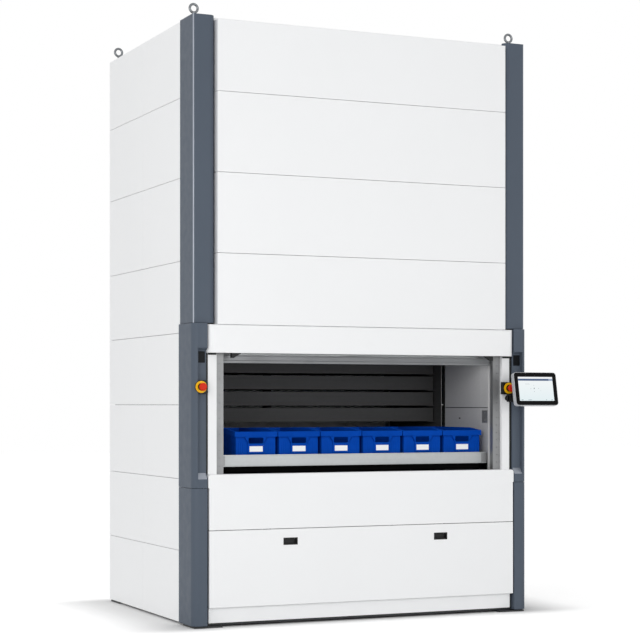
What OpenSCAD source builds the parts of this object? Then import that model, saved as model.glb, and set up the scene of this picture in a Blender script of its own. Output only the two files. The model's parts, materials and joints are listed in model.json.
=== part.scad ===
// Vertical lift module: a cabinet with a lift shaft behind the opening and a tray rack at the back.
// Origin at floor level in the middle of the floor anchors, X to the right, Y to the back, Z up.

/* [Cabinet] */
// Height from the floor to the top of the corner covers
body_h = 3080; // [2900:10:3600]
// Thickness of the floor plates
foot_h = 8; // [6:1:20]
// Height of the base frame beams
base_h = 72; // [60:2:100]
// Width of the base and top frame beams
beam_w = 60; // [50:2:80]
// Wall of the frame tubes
tube_t = 4; // [3:0.5:6]
// Thickness of the base pan sheet
floor_t = 3; // [2:0.5:5]
// Height of the top frame beams
top_h = 60; // [50:2:80]
// Rise of the corner covers above the top frame
crown_h = 20; // [18:1:40]
// Depth of the folded panels
pan_d = 25; // [20:1:30]
// Sheet thickness of the folded panels
sheet_t = 2; // [1.5:0.5:3]
// Seam between two panels
seam = 2; // [1.5:0.5:6]
// Depth of the front posts
post_d = 120; // [100:5:140]
// Width of the front posts
post_w = 60; // [50:2:64]
// Depth of the side mullions in front of the panels
mullion_d = 30; // [20:2:40]
// Width of the mullions
mullion_w = 40; // [30:2:44]

/* [Side panels] */
// Underside of the side panels above the floor
side_z = 12; // [10:1:40]
// Drop of the side panels below the cover tops
side_drop = 5; // [2:1:15]
// Height of a lower side panel
low_row_h = 366; // [340:2:390]
// Height of the third side panel
mid_row_h = 377; // [350:1:400]
// Height of the sixth side panel
tall_row_h = 424; // [390:2:450]
// Height of the seventh side panel
high_row_h = 408; // [380:2:430]

/* [Front panels] */
// Front panels behind the cover fronts, less than nought where they stand proud
panel_recess = -17; // [-20:1:20]
// Depth of the front panels
front_d = 52; // [25:1:60]
// Height of the first front panel
end_row_h = 360; // [340:2:390]
// Height of the second and of the third front panel
front_row_h = 407; // [380:1:430]
// Gap between front panels and corner covers
cover_gap = 5; // [3:1:16]
// Depth of the front rails
rail_d = 29; // [25:1:35]
// Height of the front rails
rail_h = 60; // [50:2:70]

/* [Corner covers] */
// Sheet thickness of the corner covers
cover_t = 3; // [2:0.5:4]
// Front width of the upper covers
cover_w = 120; // [100:1:125]
// Depth of the covers along the side
cover_d = 193; // [185:1:200]
// Outer corner radius of the upper covers
cover_r = 8; // [5:1:12]
// Inner edge radius of the upper covers
cover_in_r = 31; // [20:1:33]
// Middle and lower covers stand out sideways by
cover_out = 7; // [4:1:12]
// Middle and lower covers, hood and sill stand out to the front by
front_out = 20; // [15:1:30]
// Outer corner radius of the middle and lower covers
wide_r = 35; // [25:1:40]
// Front width of the middle and lower covers
wide_w = 78; // [74:1:80]
// Height of the joint between lower and middle covers
joint_z = 703; // [660:1:730]
// Height of the joint between middle and upper covers
upper_z = 1532; // [1526:1:1600]
// Gap at the cover joints
cover_seam = 2; // [1:0.5:4]
// Underside of the lower covers
cover_z = 12; // [10:1:30]
// Size of the fixing tabs behind the covers
tab = 40; // [30:1:60]

/* [Cover pocket] */
// Depth of the pocket in the middle cover
pocket_d = 25; // [20:1:28]
// Width of the pocket from the inner edge
pocket_w = 51; // [46:1:54]
// Lower edge of the pocket
pocket_z = 746; // [720:1:800]
// Upper edge of the pocket
pocket_top = 1407; // [1400:1:1460]
// Height of the lower slope
slope_low = 33; // [20:1:50]
// Height of the upper slope
slope_top = 13; // [8:1:30]

/* [Opening] */
// Top of the sill
sill_z = 770; // [740:1:800]
// Height of the opening up to the hood
opening_h = 612; // [580:1:640]
// Height of the hood
hood_h = 143; // [130:1:145]
// Front corner radius of the hood
hood_r = 30; // [20:1:40]
// Top edge radius of the hood and of the sill corners
edge_r = 14; // [8:1:20]
// Gap between the covers and the hood or the sill
side_gap = 4; // [2:1:8]
// Lower edge of the sill panel
apron_z = 490; // [450:1:520]
// Narrower step of the sill panel below the cover joint
apron_step = 5; // [2:1:10]
// Width of the trims beside the opening
trim_w = 47; // [40:1:66]
// Gap between the covers and the trims
trim_gap = 13; // [4:1:16]
// Trims behind the cover fronts
trim_y = 12; // [6:1:13]
// Depth of the trims
trim_d = 50; // [40:1:51]
// Width of the light curtain profiles
curtain_w = 44; // [25:1:45]
// Light curtain profiles behind the trim fronts
curtain_in = 20; // [10:1:30]
// Pitch of the beam holes in the light curtain profiles
beam_pitch = 40; // [20:1:60]
// Radius of the beam holes in the light curtain profiles
beam_hole_r = 3; // [2:0.5:5]

/* [Flap] */
// Lower edge of the flap
flap_z = 101; // [99:1:130]
// Gap around the flap
flap_gap = 3; // [2:0.5:6]
// Depth of the flap
flap_d = 20; // [18:1:20]
// Hinge axis above the lower flap edge
hinge_up = 8; // [8:0.5:12]
// Hinge axis behind the flap front
hinge_back = 8; // [8:0.5:10]
// Radius of the hinge pins
hinge_r = 4; // [3:0.5:5]
// Distance of the hinges from the middle
hinge_x = 600; // [400:10:700]
// Running clearance of pins and shafts
run_gap = 0.05; // [0.02:0.01:0.1]
// Distance of the finger pulls from the middle
pull_x = 433; // [300:1:550]
// Middle height of the finger pulls
pull_z = 424; // [300:1:440]
// Width of a finger pull
pull_w = 79; // [60:1:100]
// Height of a finger pull
pull_h = 37; // [28:1:45]
// Depth of the finger pull cup
pull_d = 16; // [10:1:17]
// Top of the toe kick
toe_top = 98; // [90:1:98]
// Underside of the toe kick
toe_z = 22; // [15:1:40]
// Toe kick behind the cover fronts
toe_y = 5; // [2:1:10]

/* [Trays and bins] */
// Width of one bin place
bin_pitch = 241; // [220:1:260]
// Gap between two bins
bin_gap = 5; // [2:1:10]
// Bins from the tray middle
bin_shift = 35; // [0:1:40]
// Depth of a bin
bin_d = 520; // [400:5:530]
// Height of a bin front
bin_h = 176; // [140:1:185]
// Rise of the bin sides above the bin front
bin_rise = 14; // [2:1:18]
// Length of the rising edge of the bin sides
bin_ramp = 120; // [60:5:200]
// Wall of a bin
bin_t = 3; // [2:0.5:4]
// Height of the rim band
bin_rim = 27; // [20:1:35]
// Rim band proud of the bin body
rim_out = 8; // [3:0.5:10]
// Width of the label holder
holder_w = 92; // [86:1:110]
// Height of the label holder below the rim top
holder_h = 112; // [108:1:125]
// Label holder proud of the bin front
holder_out = 6; // [3:0.5:8]
// Width of the hand hole
hand_w = 82; // [60:1:84]
// Height of the hand hole
hand_h = 25; // [18:1:30]
// Width of a label
label_w = 73; // [50:1:84]
// Height of a label
label_h = 28; // [20:1:32]
// Margin of the bin row at both tray ends
tray_margin = 57; // [40:1:80]
// Depth of the trays
tray_d = 560; // [560:5:640]
// Height of the delivered tray
tray_h = 60; // [50:1:80]
// Wall of the trays
tray_t = 2; // [1.5:0.5:3]
// Width of the tray end brackets
bracket_w = 40; // [30:1:60]
// Delivered tray above the sill
tray_rise = 34; // [30:1:50]
// Height of the stored trays
store_h = 76; // [50:1:80]
// Pitch of the storage places
store_pitch = 90; // [86:1:120]
// First stored tray above the delivered tray
store_rise = 222; // [200:1:260]
// Storage places above the delivery level
store_levels = 18; // [8:1:18]
// Trays stored above the delivery level
store_full = 4; // [1:1:8]

/* [Lift] */
// Gap between the trays and the liners
tray_gap = 10; // [8:1:30]
// Gap in front of the trays
front_gap = 10; // [6:1:20]
// Gap between lift and rack trays
rack_gap = 60; // [50:1:80]
// Free depth behind the rack trays
rack_free = 20; // [10:1:40]
// Thickness of liners
liner_t = 2; // [1.5:0.5:3]
// Liners to belts
belt_gap = 30; // [28:1:40]
// Width of the lift belts
belt_w = 25; // [20:1:40]
// Thickness of the lift belts
belt_t = 4; // [3:0.5:6]
// Belts to guide rails
shoe_gap = 11; // [10:1:20]
// Depth of the guide rails along X
guide_w = 30; // [24:1:40]
// Width of the guide rails along Y
guide_d = 40; // [30:1:40]
// Depth of the guide mullions
guide_post = 44; // [40:1:60]
// Radius of the lift pulleys
pulley_r = 55; // [48:1:58]
// Radius of the lift shafts
shaft_r = 12.5; // [10:0.5:16]
// Height of the drive shaft
drive_z = 150; // [150:1:170]
// Idler shaft below the top frame
idler_drop = 30; // [25:1:40]
// Sliding clearance
slide_gap = 0.3; // [0.2:0.05:0.5]
// Lift axis in front of the rear end of the lifted tray
lift_back = 40; // [36:1:80]
// Height of the carriages
carriage_h = 300; // [240:5:320]
// Thickness of the carriage plates
carriage_t = 15; // [10:1:18]
// Height of the platform beams
platform_h = 34; // [30:1:34]
// Width of the platform beams
platform_w = 40; // [30:1:50]
// Width of the tray supports
support_w = 45; // [30:1:48]
// Thickness of the tray supports
support_t = 4; // [3:0.5:6]
// Clearance between a moved tray and its rack supports
pass_gap = 1; // [0.5:0.1:2]
// Gearmotor left of the middle
motor_x = 310; // [280:5:400]
// Width of the gearmotor
motor_w = 140; // [100:5:180]
// Radius of the gearmotor
motor_r = 60; // [50:1:64]
// Length of the gearmotor behind the drive shaft
motor_l = 230; // [180:5:280]
// Control box right of the middle
box_x = 500; // [450:5:550]
// Width of the control box
box_w = 400; // [300:5:440]
// Control box behind the cover fronts
box_y = 150; // [140:5:200]
// Depth of the control box
box_d = 250; // [200:5:300]
// Height of the control box
box_h = 190; // [150:5:220]

/* [Door] */
// Depth of the door guides
guide_ch = 26; // [24:1:30]
// Wall of the door guides
guide_t = 3.5; // [2:0.5:4]
// Door edge clearance in the guides
door_gap = 0.5; // [0.3:0.1:0.9]
// Underside of the raised door below the hood edge
door_drop = 49; // [40:1:60]
// Height of the door
door_h = 620; // [610:5:700]
// Height of the door guides above the raised door
guide_over = 50; // [40:1:60]
// Height of the door bar
bar_h = 40; // [30:1:40]
// Depth of the door bar
bar_d = 12; // [8:1:14]
// Thickness of the door racks
rack_t = 3.5; // [2:0.5:3.5]
// Radius of the door pinions
pinion_r = 20; // [15:1:22]
// Radius of the door shaft
door_shaft_r = 8; // [6:0.5:10]
// Distance of the door racks from the middle
pinion_x = 700; // [600:5:720]

/* [Controls] */
// Height of the emergency stops
stop_z = 1210; // [1150:1:1280]
// Radius of the emergency stop heads
stop_r = 20; // [16:1:22]
// Radius of the yellow collars
collar_r = 30; // [26:1:32]
// Thickness of the yellow collars
collar_t = 5; // [4:0.5:8]
// Travel of the emergency stop heads
stop_travel = 5; // [3:0.5:6]
// Neck of the emergency stop heads
stop_neck = 12; // [4:1:16]
// Left stop from the inner edge of its cover
stop_off = 36; // [14:1:38]
// Side of the square stop base at the right
stop_base = 66; // [62:1:68]
// Depth of the square stop base at the right
stop_base_d = 30; // [24:1:40]
// Right stop from the outer face
stop_in = 105; // [100:1:106]
// Width of the touch panel
panel_w = 262; // [220:1:300]
// Height of the touch panel
panel_h = 180; // [150:1:200]
// Depth of the touch panel
panel_d = 28; // [22:1:32]
// Width of the screen
screen_w = 213; // [180:1:216]
// Height of the screen
screen_h = 131; // [110:1:140]
// Lean of the touch panel
panel_lean = 11; // [5:1:20]
// Height of the console pivot
pivot_z = 1156; // [1130:1:1156]
// Console pivot right of the stop
pivot_off = 7; // [0:1:10]
// Tilt pin above the console pivot
tilt_rise = 41; // [38:1:60]
// Console pivot in front of the cover fronts
pivot_out = 40; // [38:1:60]
// Reach of the console arm
arm_l = 110; // [105:1:130]
// Radius of the console pivot pin
pivot_r = 8; // [6:0.5:10]
// Radius of the tilt pin
tilt_r = 5; // [4:0.5:6]
// Width of the sensor windows
window_w = 40; // [30:1:44]
// Height of the sensor windows
window_h = 57; // [40:1:70]
// Thickness of the sensor windows
window_t = 3; // [2:0.5:5]

/* [Mounts] */
// Radius of the floor anchor holes
anchor_r = 7; // [5:0.5:9]
// Floor anchors from the base frame beams
anchor_in = 35; // [30:1:50]
// Inner radius of the lifting eyes
eye_r = 15; // [12:0.5:18]
// Thickness of the lifting eye rings
eye_t = 13; // [10:0.5:15]
// Radius of the lifting eye shanks
eye_shank_r = 6; // [5:0.5:8]
// Lifting eyes from the outer faces
eye_in = 40; // [36:1:60]
// Front lifting eyes behind the cover fronts
eye_y = 100; // [70:1:160]

/* [Hidden] */
$fn = 64;
over = 1;
anthracite = [0.33, 0.36, 0.39];
white = [0.94, 0.94, 0.95];
bin_blue = [0.0, 0.25, 0.69];
zinc = [0.73, 0.74, 0.75];
alu = [0.8, 0.81, 0.82];
steel = [0.55, 0.57, 0.6];
dark = [0.2, 0.21, 0.22];
black = [0.06, 0.06, 0.07];

// Lap of a sheet on the part that holds it, and height of a shaft bearing
lap = 10;
bearing_h = 40;

// Half widths, from the tray outwards
bins_n = 6;
tray_x = bins_n * bin_pitch / 2 + tray_margin;
liner_x = tray_x + tray_gap;
belt_x = liner_x + belt_gap;
guide_x = belt_x + belt_w + shoe_gap;
guide_post_x = guide_x + guide_w;
frame_x = guide_post_x + guide_post;
hw = frame_x + pan_d;
beam_x = frame_x - beam_w;
post_x1 = hw - lap;
post_x0 = post_x1 - post_w;
wide_x1 = hw + cover_out;
wide_x0 = wide_x1 - wide_w;
hood_x = wide_x0 - side_gap + over;
apron_x = wide_x0 - side_gap;
front_x = hw - cover_w - cover_gap;
trim_x1 = wide_x0 - trim_gap;
trim_x0 = trim_x1 - trim_w;
carriage_x = liner_x + liner_t + lap / 2;
platform_x = liner_x - lap / 2;

// Depths behind the cover fronts, and the shift to the middle of the anchors
rail_y = panel_recess + front_d;
guide_y = rail_y + rail_d;
liner_y = guide_y + guide_ch;
tray_y = liner_y + front_gap;
lift_y = tray_y + tray_d - lift_back;
rack_y = tray_y + tray_d + rack_gap;
rear_y = rack_y + tray_d + rack_free;
body_d = rear_y + beam_w + pan_d;
function fy(y) = y - body_d / 2;
post_y = 40;
mullion_y = cover_d + seam;
col_y = (cover_d + body_d) / 2;

// Heights
base_z = foot_h + base_h;
floor_z = base_z + floor_t;
roof_z = body_h - crown_h;
top_z = roof_z - top_h;
hood_z = sill_z + opening_h;
hood_top = hood_z + hood_h;
tray_z = sill_z + tray_rise;
bin_z = tray_z + tray_t;
idler_z = top_z - idler_drop;
carriage_z = tray_z - carriage_h / 2;
door_z = hood_z - door_drop;
flap_top = apron_z - flap_gap;
store_z = [for (i = [0 : store_levels - 1]) tray_z + store_rise + i * store_pitch];
side_top = body_h - side_drop;
side_rest_h = side_top - side_z - 4 * low_row_h - mid_row_h - tall_row_h - high_row_h;
side_rows = [low_row_h, low_row_h, mid_row_h, low_row_h, low_row_h, tall_row_h, high_row_h, side_rest_h];
front_rest_h = roof_z - hood_top - end_row_h - 2 * front_row_h;
front_rows = [end_row_h, front_row_h, front_row_h, front_rest_h];
function stack(rows, i) = i == 0 ? 0 : rows[i - 1] + stack(rows, i - 1);

// Places of the anchors and of the lifting eyes
anchor_x = beam_x - anchor_in;
anchor_y = body_d / 2 - pan_d - beam_w - anchor_in;
plate_l = beam_w + 2 * anchor_in;
plate_x = [anchor_x - anchor_in, hw - lap / 2];
plate_y = [[lap - front_out, pan_d + plate_l], [body_d - pan_d - plate_l, body_d - lap]];
eye_x = hw - eye_in;
eye_back = body_d - eye_in;
eye_ring = eye_r + eye_t / 2 - 0.5;
eye_rise = 53;
roof_t = crown_h - 6;

// Door drive
leaf_y = [guide_y + guide_t + door_gap, liner_y - guide_t - door_gap];
pinion_y = leaf_y[0] - rack_t - slide_gap - pinion_r;
pinion_z = door_z + bar_h + pinion_r + 2;
pinion_w = 20;
door_x = liner_x + lap;
door_guide_x = [door_x - 18, door_x + 12];
guide_top = door_z + door_h + guide_over;
motor_half = 70;
bearing_x = [pinion_x + 2 * pinion_w, pinion_x + 2.5 * pinion_w];

// Bins
bin_y = tray_y + 15;
bin_top = bin_z + bin_h;
body_y = bin_y + rim_out;
holder_y = body_y - holder_out;
label_drop = 75;
hand_drop = 34;
function bin_x(i) = (i - (bins_n + 1) / 2) * bin_pitch + bin_shift;

// Flap
hinge_y = hinge_back - front_out;
hinge_z = flap_z + hinge_up;
hinge_arm_w = 10;
hinge_arm_r = hinge_back - sheet_t - 0.5;
lug_w = 8;
lug_gap = 2;
cup_in = 4;

// Emergency stops
stop_x = hw - stop_in;
left_stop_x = wide_x0 + stop_off;
pocket_y = pocket_d - front_out;
left_base_y = -front_out - 2;
right_base_y = trim_y - stop_base_d;
stem_r = 10;
stem_l = 18;
stop_lift = collar_t + stop_travel + stop_neck + over;

// Console
pivot_x = stop_x + pivot_off;
pivot_y = -pivot_out;
arm_angle = -45;
arm_end = [pivot_x + arm_l * cos(arm_angle), pivot_y + arm_l * sin(arm_angle)];
knuckle_h = 28;
fork_w = 16;
fork_t = 6;
flange_r = 14;
boss_r = 12;
bar_half = 9;
tilt_z = pivot_z + tilt_rise;
tilt_head_w = 27.4;
tilt_lug = 10;
panel_back = 18;
glass_in = 4;
glass_t = 3;

// Shared shapes

// Block between two limits on each axis, y counted from the cover fronts
module block(x, y, z) {
    translate([x[0], fy(y[0]), z[0]]) cube([x[1] - x[0], y[1] - y[0], z[1] - z[0]]);
}

// Both sides of the cabinet
module both() {
    children();
    mirror([1, 0, 0]) children();
}

// Hollow block with one open side
module pan(x, y, z, t, open) {
    lo = [for (i = [0 : 2]) open[i] < 0 ? -over : t];
    hi = [for (i = [0 : 2]) open[i] > 0 ? over : -t];
    difference() {
        block(x, y, z);
        block([x[0] + lo[0], x[1] + hi[0]], [y[0] + lo[1], y[1] + hi[1]], [z[0] + lo[2], z[1] + hi[2]]);
    }
}

// Square tube open at both ends along one axis
module tube(x, y, z, t, axis) {
    w = [for (i = [0 : 2]) i == axis ? -over : t];
    difference() {
        block(x, y, z);
        block([x[0] + w[0], x[1] - w[0]], [y[0] + w[1], y[1] - w[1]], [z[0] + w[2], z[1] - w[2]]);
    }
}

// Flat rectangular ring of channels that are open below
module ring(x, y, z) {
    w = beam_w;
    t = tube_t;
    difference() {
        block([-x, x], y, z);
        block([w - x, x - w], [y[0] + w, y[1] - w], [z[0] - over, z[1] + over]);
        difference() {
            block([t - x, x - t], [y[0] + t, y[1] - t], [z[0] - over, z[1] - t]);
            block([w - t - x, x - w + t], [y[0] + w - t, y[1] - w + t], [z[0] - 2 * over, z[1]]);
        }
    }
}

// Round bar along X
module rod(x, y, z, r) {
    translate([x[0], fy(y), z]) rotate([0, 90, 0]) cylinder(r = r, h = x[1] - x[0]);
}

// Waste of a rounded corner at the origin
module corner(r) {
    difference() {
        translate([-over, -over]) square(r + over);
        translate([r, r]) circle(r);
    }
}

// Plan outline with two rounded front corners
module rounded_front(x, y, r) {
    difference() {
        translate([x[0], fy(y[0])]) square([x[1] - x[0], y[1] - y[0]]);
        for (s = [0, 1]) translate([x[s], fy(y[0])]) mirror([s, 0]) corner(r[s]);
    }
}

// Bent cover sheet in plan: side wall, front and a short inner return
module cover_section(x, y, r, return_y) {
    t = cover_t;
    difference() {
        rounded_front(x, y, r);
        rounded_front([x[0] + t, x[1] - t], [y[0] + t, y[1] + over], [r[0] - t, r[1] - t]);
        translate([x[0] - over, fy(return_y)]) square([t + 2 * over, y[1] - return_y + over]);
    }
}

// Fixing tabs between the front posts and a cover
module cover_tabs(x, z) {
    for (i = [0.15, 0.5, 0.85]) {
        z0 = z[0] + i * (z[1] - z[0]) - tab / 2;
        block([post_x1, x - cover_t + over], [post_y + tab / 2, post_y + 1.5 * tab], [z0, z0 + tab]);
    }
}

// Frame

module base_frame() {
    color(dark) ring(frame_x, [pan_d, body_d - pan_d], [foot_h, base_z]);
}

module floor_plates() {
    color(black) both() for (i = [0, 1]) difference() {
        block(plate_x, plate_y[i], [0, foot_h]);
        translate([anchor_x, (2 * i - 1) * anchor_y, -over]) cylinder(r = anchor_r, h = foot_h + 2 * over);
    }
}

module base_pan() {
    color(dark) difference() {
        block([-beam_x - lap, beam_x + lap], [pan_d + 2 * lap, rear_y], [base_z, floor_z]);
        both() for (s = [-1, 1]) translate([anchor_x, s * anchor_y, base_z - over])
            cylinder(r = 4 * anchor_r, h = floor_t + 2 * over);
    }
}

module posts() {
    z = [base_z, top_z];
    color(dark) both() {
        tube([post_x0, post_x1], [post_y, post_y + post_d], z, tube_t, 2);
        tube([beam_x, frame_x], [rear_y, rear_y + beam_w], z, tube_t, 2);
    }
}

module mullions() {
    z = [base_z, top_z];
    color(dark) {
        both() {
            tube([frame_x - mullion_d, frame_x], [mullion_y, mullion_y + mullion_w], z, tube_t, 2);
            tube([frame_x - mullion_d, frame_x], [col_y - mullion_w / 2, col_y + mullion_w / 2], z, tube_t, 2);
            tube([guide_post_x, frame_x], [lift_y - guide_d / 2, lift_y + guide_d / 2], z, tube_t, 2);
        }
        tube([-mullion_w / 2, mullion_w / 2], [body_d - pan_d - mullion_d, body_d - pan_d], z, tube_t, 2);
    }
}

module top_frame() {
    color(dark) difference() {
        ring(frame_x, [rail_y, body_d - pan_d], [top_z, roof_z]);
        eye_holes(eye_shank_r + slide_gap);
    }
}

// Holes for the shanks of the lifting eyes
module eye_holes(r) {
    both() for (y = [eye_y, eye_back]) translate([eye_x, fy(y), top_z]) cylinder(r = r, h = body_h - top_z);
}

module front_rails() {
    seams = [for (i = [0 : 3]) hood_top + stack(front_rows, i) - rail_h / 2];
    color(dark) for (z = concat([apron_z + 4, sill_z - rail_h - 4], seams))
        tube([-post_x0, post_x0], [rail_y, guide_y], [z, z + rail_h], tube_t, 0);
}

// Cladding

module roof_panel() {
    color(white) difference() {
        pan([-frame_x, frame_x], [rail_y, body_d - pan_d], [roof_z, roof_z + roof_t], sheet_t, [0, 0, -1]);
        eye_holes(eye_shank_r + over);
    }
}

module upper_covers() {
    z = [upper_z, body_h];
    color(anthracite) both() {
        translate([0, 0, z[0]]) linear_extrude(z[1] - z[0])
            cover_section([hw - cover_w, hw], [0, cover_d], [cover_in_r, cover_r], rail_y - over);
        cover_tabs(hw, [z[0], top_z]);
    }
}

// Straight run of the middle and lower covers
module wide_cover(z) {
    x = [wide_x0, wide_x1];
    translate([0, 0, z[0]]) linear_extrude(z[1] - z[0])
        cover_section(x, [-front_out, cover_d], [cover_t + over, wide_r], pan_d - over);
    cover_tabs(wide_x1, z);
}

// Pocket in the middle cover, grown by g all round
module pocket(g, start) {
    y = [-front_out - start, -front_out, pocket_y + g];
    z = [pocket_z - g, pocket_z + slope_low, pocket_top - slope_top, pocket_top + g];
    side = [[y[0], z[0]], [y[1], z[0]], [y[2], z[1]], [y[2], z[2]], [y[1], z[3]], [y[0], z[3]]];
    translate([wide_x0 - start, fy(0), 0]) rotate([90, 0, 90])
        linear_extrude(pocket_w + start + g) polygon(side);
}

module middle_covers() {
    z = [joint_z, upper_z - cover_seam];
    color(anthracite) both() {
        difference() {
            union() {
                wide_cover(z);
                pocket(cover_t, 0);
            }
            pocket(0, over);
        }
        translate([0, 0, z[1] - cover_t]) linear_extrude(cover_t)
            rounded_front([wide_x0, wide_x1], [-front_out, rail_y - over], [cover_t + over, wide_r]);
    }
}

module lower_covers() {
    color(anthracite) both() wide_cover([cover_z, joint_z - cover_seam]);
}

module side_panels() {
    for (i = [0 : len(side_rows) - 1]) {
        z0 = side_z + stack(side_rows, i);
        z = [z0, z0 + side_rows[i] - seam];
        for (y = [[cover_d + seam, col_y - seam / 2], [col_y + seam / 2, body_d]])
            pan([frame_x, hw], y, z, sheet_t, [-1, 0, 0]);
    }
}

module left_side_panels() {
    color(white) mirror([1, 0, 0]) side_panels();
}

module right_side_panels() {
    color(white) side_panels();
}

module rear_panels() {
    color(white) both() for (i = [0 : len(side_rows) - 1]) {
        z0 = side_z + stack(side_rows, i);
        pan([seam / 2, frame_x - seam], [body_d - pan_d, body_d], [z0, z0 + side_rows[i] - seam], sheet_t, [0, -1, 0]);
    }
}

module front_panels() {
    color(white) for (i = [0 : len(front_rows) - 1]) {
        z0 = hood_top + stack(front_rows, i) + seam / 2;
        pan([-front_x, front_x], [panel_recess, rail_y], [z0, z0 + front_rows[i] - seam], sheet_t, [0, 1, 0]);
    }
}

// Hood body drawn in by g, lengthened below and behind by cut
module hood_body(g, cut) {
    x = hood_x - g;
    y = [g - front_out, rail_y + cut];
    z = [hood_z - cut, hood_top - g];
    intersection() {
        translate([0, 0, z[0]]) linear_extrude(z[1] - z[0]) rounded_front([-x, x], y, [hood_r - g, hood_r - g]);
        translate([-x - over, fy(0), 0]) rotate([90, 0, 90]) linear_extrude(2 * x + 2 * over) difference() {
            translate([y[0], z[0]]) square([y[1] - y[0], z[1] - z[0]]);
            translate([y[0], z[1]]) mirror([0, 1]) corner(edge_r - g);
        }
    }
}

module hood() {
    color(white) difference() {
        hood_body(0, 0);
        hood_body(cover_t, over);
    }
}

// Front outline of the sill panel drawn in by g
module sill_outline(g) {
    x = apron_x - g;
    difference() {
        translate([-x, joint_z + g]) square([2 * x, sill_z - joint_z - 2 * g]);
        for (s = [0, 1]) mirror([s, 0]) translate([-x, sill_z - g]) mirror([0, 1]) corner(edge_r - g);
    }
    translate([apron_step - x, apron_z + g]) square([2 * (x - apron_step), joint_z - apron_z + over]);
}

module sill_panel() {
    color(white) difference() {
        translate([0, fy(rail_y), 0]) rotate([90, 0, 0]) linear_extrude(rail_y + front_out) sill_outline(0);
        translate([0, fy(rail_y + over), 0]) rotate([90, 0, 0])
            linear_extrude(rail_y + front_out + over - cover_t) sill_outline(cover_t);
    }
}

module toe_kick() {
    x = apron_x - 2 * apron_step;
    color(white) pan([-x, x], [toe_y, pan_d], [toe_z, toe_top], sheet_t, [0, 1, 0]);
}

// Opening

module trims() {
    y1 = trim_y + trim_d;
    z = [sill_z, hood_z + edge_r];
    color(white) both() {
        pan([trim_x0, trim_x1], [trim_y, y1], z, sheet_t, [0, 1, 0]);
        for (i = [0.2, 0.8]) {
            z0 = z[0] + i * (z[1] - z[0]);
            block([trim_x1 - sheet_t, post_x0], [y1 - 2 * sheet_t, y1], [z0, z0 + tab]);
        }
    }
}

module light_curtains() {
    y = [trim_y + curtain_in, trim_y + trim_d];
    color(alu) both() difference() {
        block([trim_x0 - curtain_w, trim_x0], y, [sill_z, hood_z]);
        for (z = [sill_z + beam_pitch : beam_pitch : hood_z - beam_pitch])
            translate([trim_x0 - curtain_w / 2, fy(y[0] + 2 * sheet_t), z]) rotate([90, 0, 0])
                cylinder(r = beam_hole_r, h = 3 * sheet_t);
    }
}

module door_guides() {
    t = guide_t;
    x = door_guide_x;
    color(alu) both() difference() {
        block(x, [guide_y, liner_y], [sill_z, guide_top]);
        block([x[0] - over, x[1] - t], [guide_y + t, liner_y - t], [sill_z - over, guide_top + over]);
    }
}

module liners() {
    z = [floor_z, top_z];
    x = [liner_x, liner_x + liner_t];
    slot = guide_d / 2 + liner_t;
    color(zinc) both() {
        block(x, [liner_y, lift_y - slot], z);
        block([liner_x, door_guide_x[1]], [liner_y, liner_y + liner_t], z);
        block(x, [lift_y + slot, rack_y], z);
    }
}

module rack_plates() {
    z = [floor_z, top_z];
    t = floor_t;
    color(zinc) both() {
        block([liner_x, liner_x + t], [rack_y, rear_y], z);
        block([liner_x, liner_x + tab], [rack_y, rack_y + t], z);
        block([liner_x, beam_x + tab / 2], [rear_y - t, rear_y], z);
    }
}

module tray_supports() {
    color(zinc) both() for (z = concat([tray_z - pass_gap], store_z))
        block([liner_x - support_w, liner_x], [rack_y + support_t, rear_y - support_t], [z - support_t, z]);
}

module stored_trays() {
    y = rack_y + support_t;
    color(zinc) for (i = [0 : store_full - 1])
        pan([-tray_x, tray_x], [y, y + tray_d], [store_z[i], store_z[i] + store_h], tray_t, [0, 0, 1]);
}

// Lift drive

module guide_rails() {
    color(steel) both() block([guide_x, guide_post_x], [lift_y - guide_d / 2, lift_y + guide_d / 2],
        [drive_z + pulley_r + shaft_r, idler_z - bearing_h]);
}

// Side view of a belt loop
module loop(r) {
    for (z = [drive_z, idler_z]) translate([0, z]) circle(r);
    translate([-r, drive_z]) square([2 * r, idler_z - drive_z]);
}

module lift_belts() {
    r = pulley_r + slide_gap;
    color(black) both() translate([belt_x, fy(lift_y), 0]) rotate([90, 0, 90]) linear_extrude(belt_w)
        difference() {
            loop(r + belt_t);
            loop(r);
        }
}

// Shaft with two pulleys
module pulley_shaft(z) {
    color(steel) {
        rod([-guide_post_x + over, guide_post_x - over], lift_y, z, shaft_r);
        both() rod([belt_x, belt_x + belt_w], lift_y, z, pulley_r);
    }
}

module drive_shaft() {
    pulley_shaft(drive_z);
}

module idler_shaft() {
    pulley_shaft(idler_z);
}

module shaft_bearings() {
    x = [belt_x + belt_w + 4, guide_post_x];
    y = [lift_y - bearing_h / 2, lift_y + bearing_h / 2];
    r = door_shaft_r + run_gap;
    half = bearing_h / 2 - 6;
    color(steel) both() {
        difference() {
            union() {
                block(x, y, [floor_z, drive_z + bearing_h]);
                block(x, y, [idler_z - bearing_h, top_z]);
            }
            for (z = [drive_z, idler_z]) rod([x[0] - over, x[1] + over], lift_y, z, shaft_r + run_gap);
        }
        difference() {
            block(bearing_x, [pinion_y - half, pinion_y + half], [pinion_z - half, hood_top - rail_h / 2]);
            rod([bearing_x[0] - over, bearing_x[1] + over], pinion_y, pinion_z, r);
        }
    }
}

module gearmotor() {
    x = [-motor_x - motor_w / 2, motor_w / 2 - motor_x];
    color(steel) difference() {
        union() {
            block(x, [lift_y - motor_r, lift_y + motor_r], [floor_z, drive_z + motor_r]);
            translate([-motor_x, fy(lift_y + motor_l), drive_z]) rotate([90, 0, 0])
                cylinder(r = motor_r, h = motor_l - motor_r + over);
        }
        rod([x[0] - over, x[1] + over], lift_y, drive_z, shaft_r + run_gap);
    }
}

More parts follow.
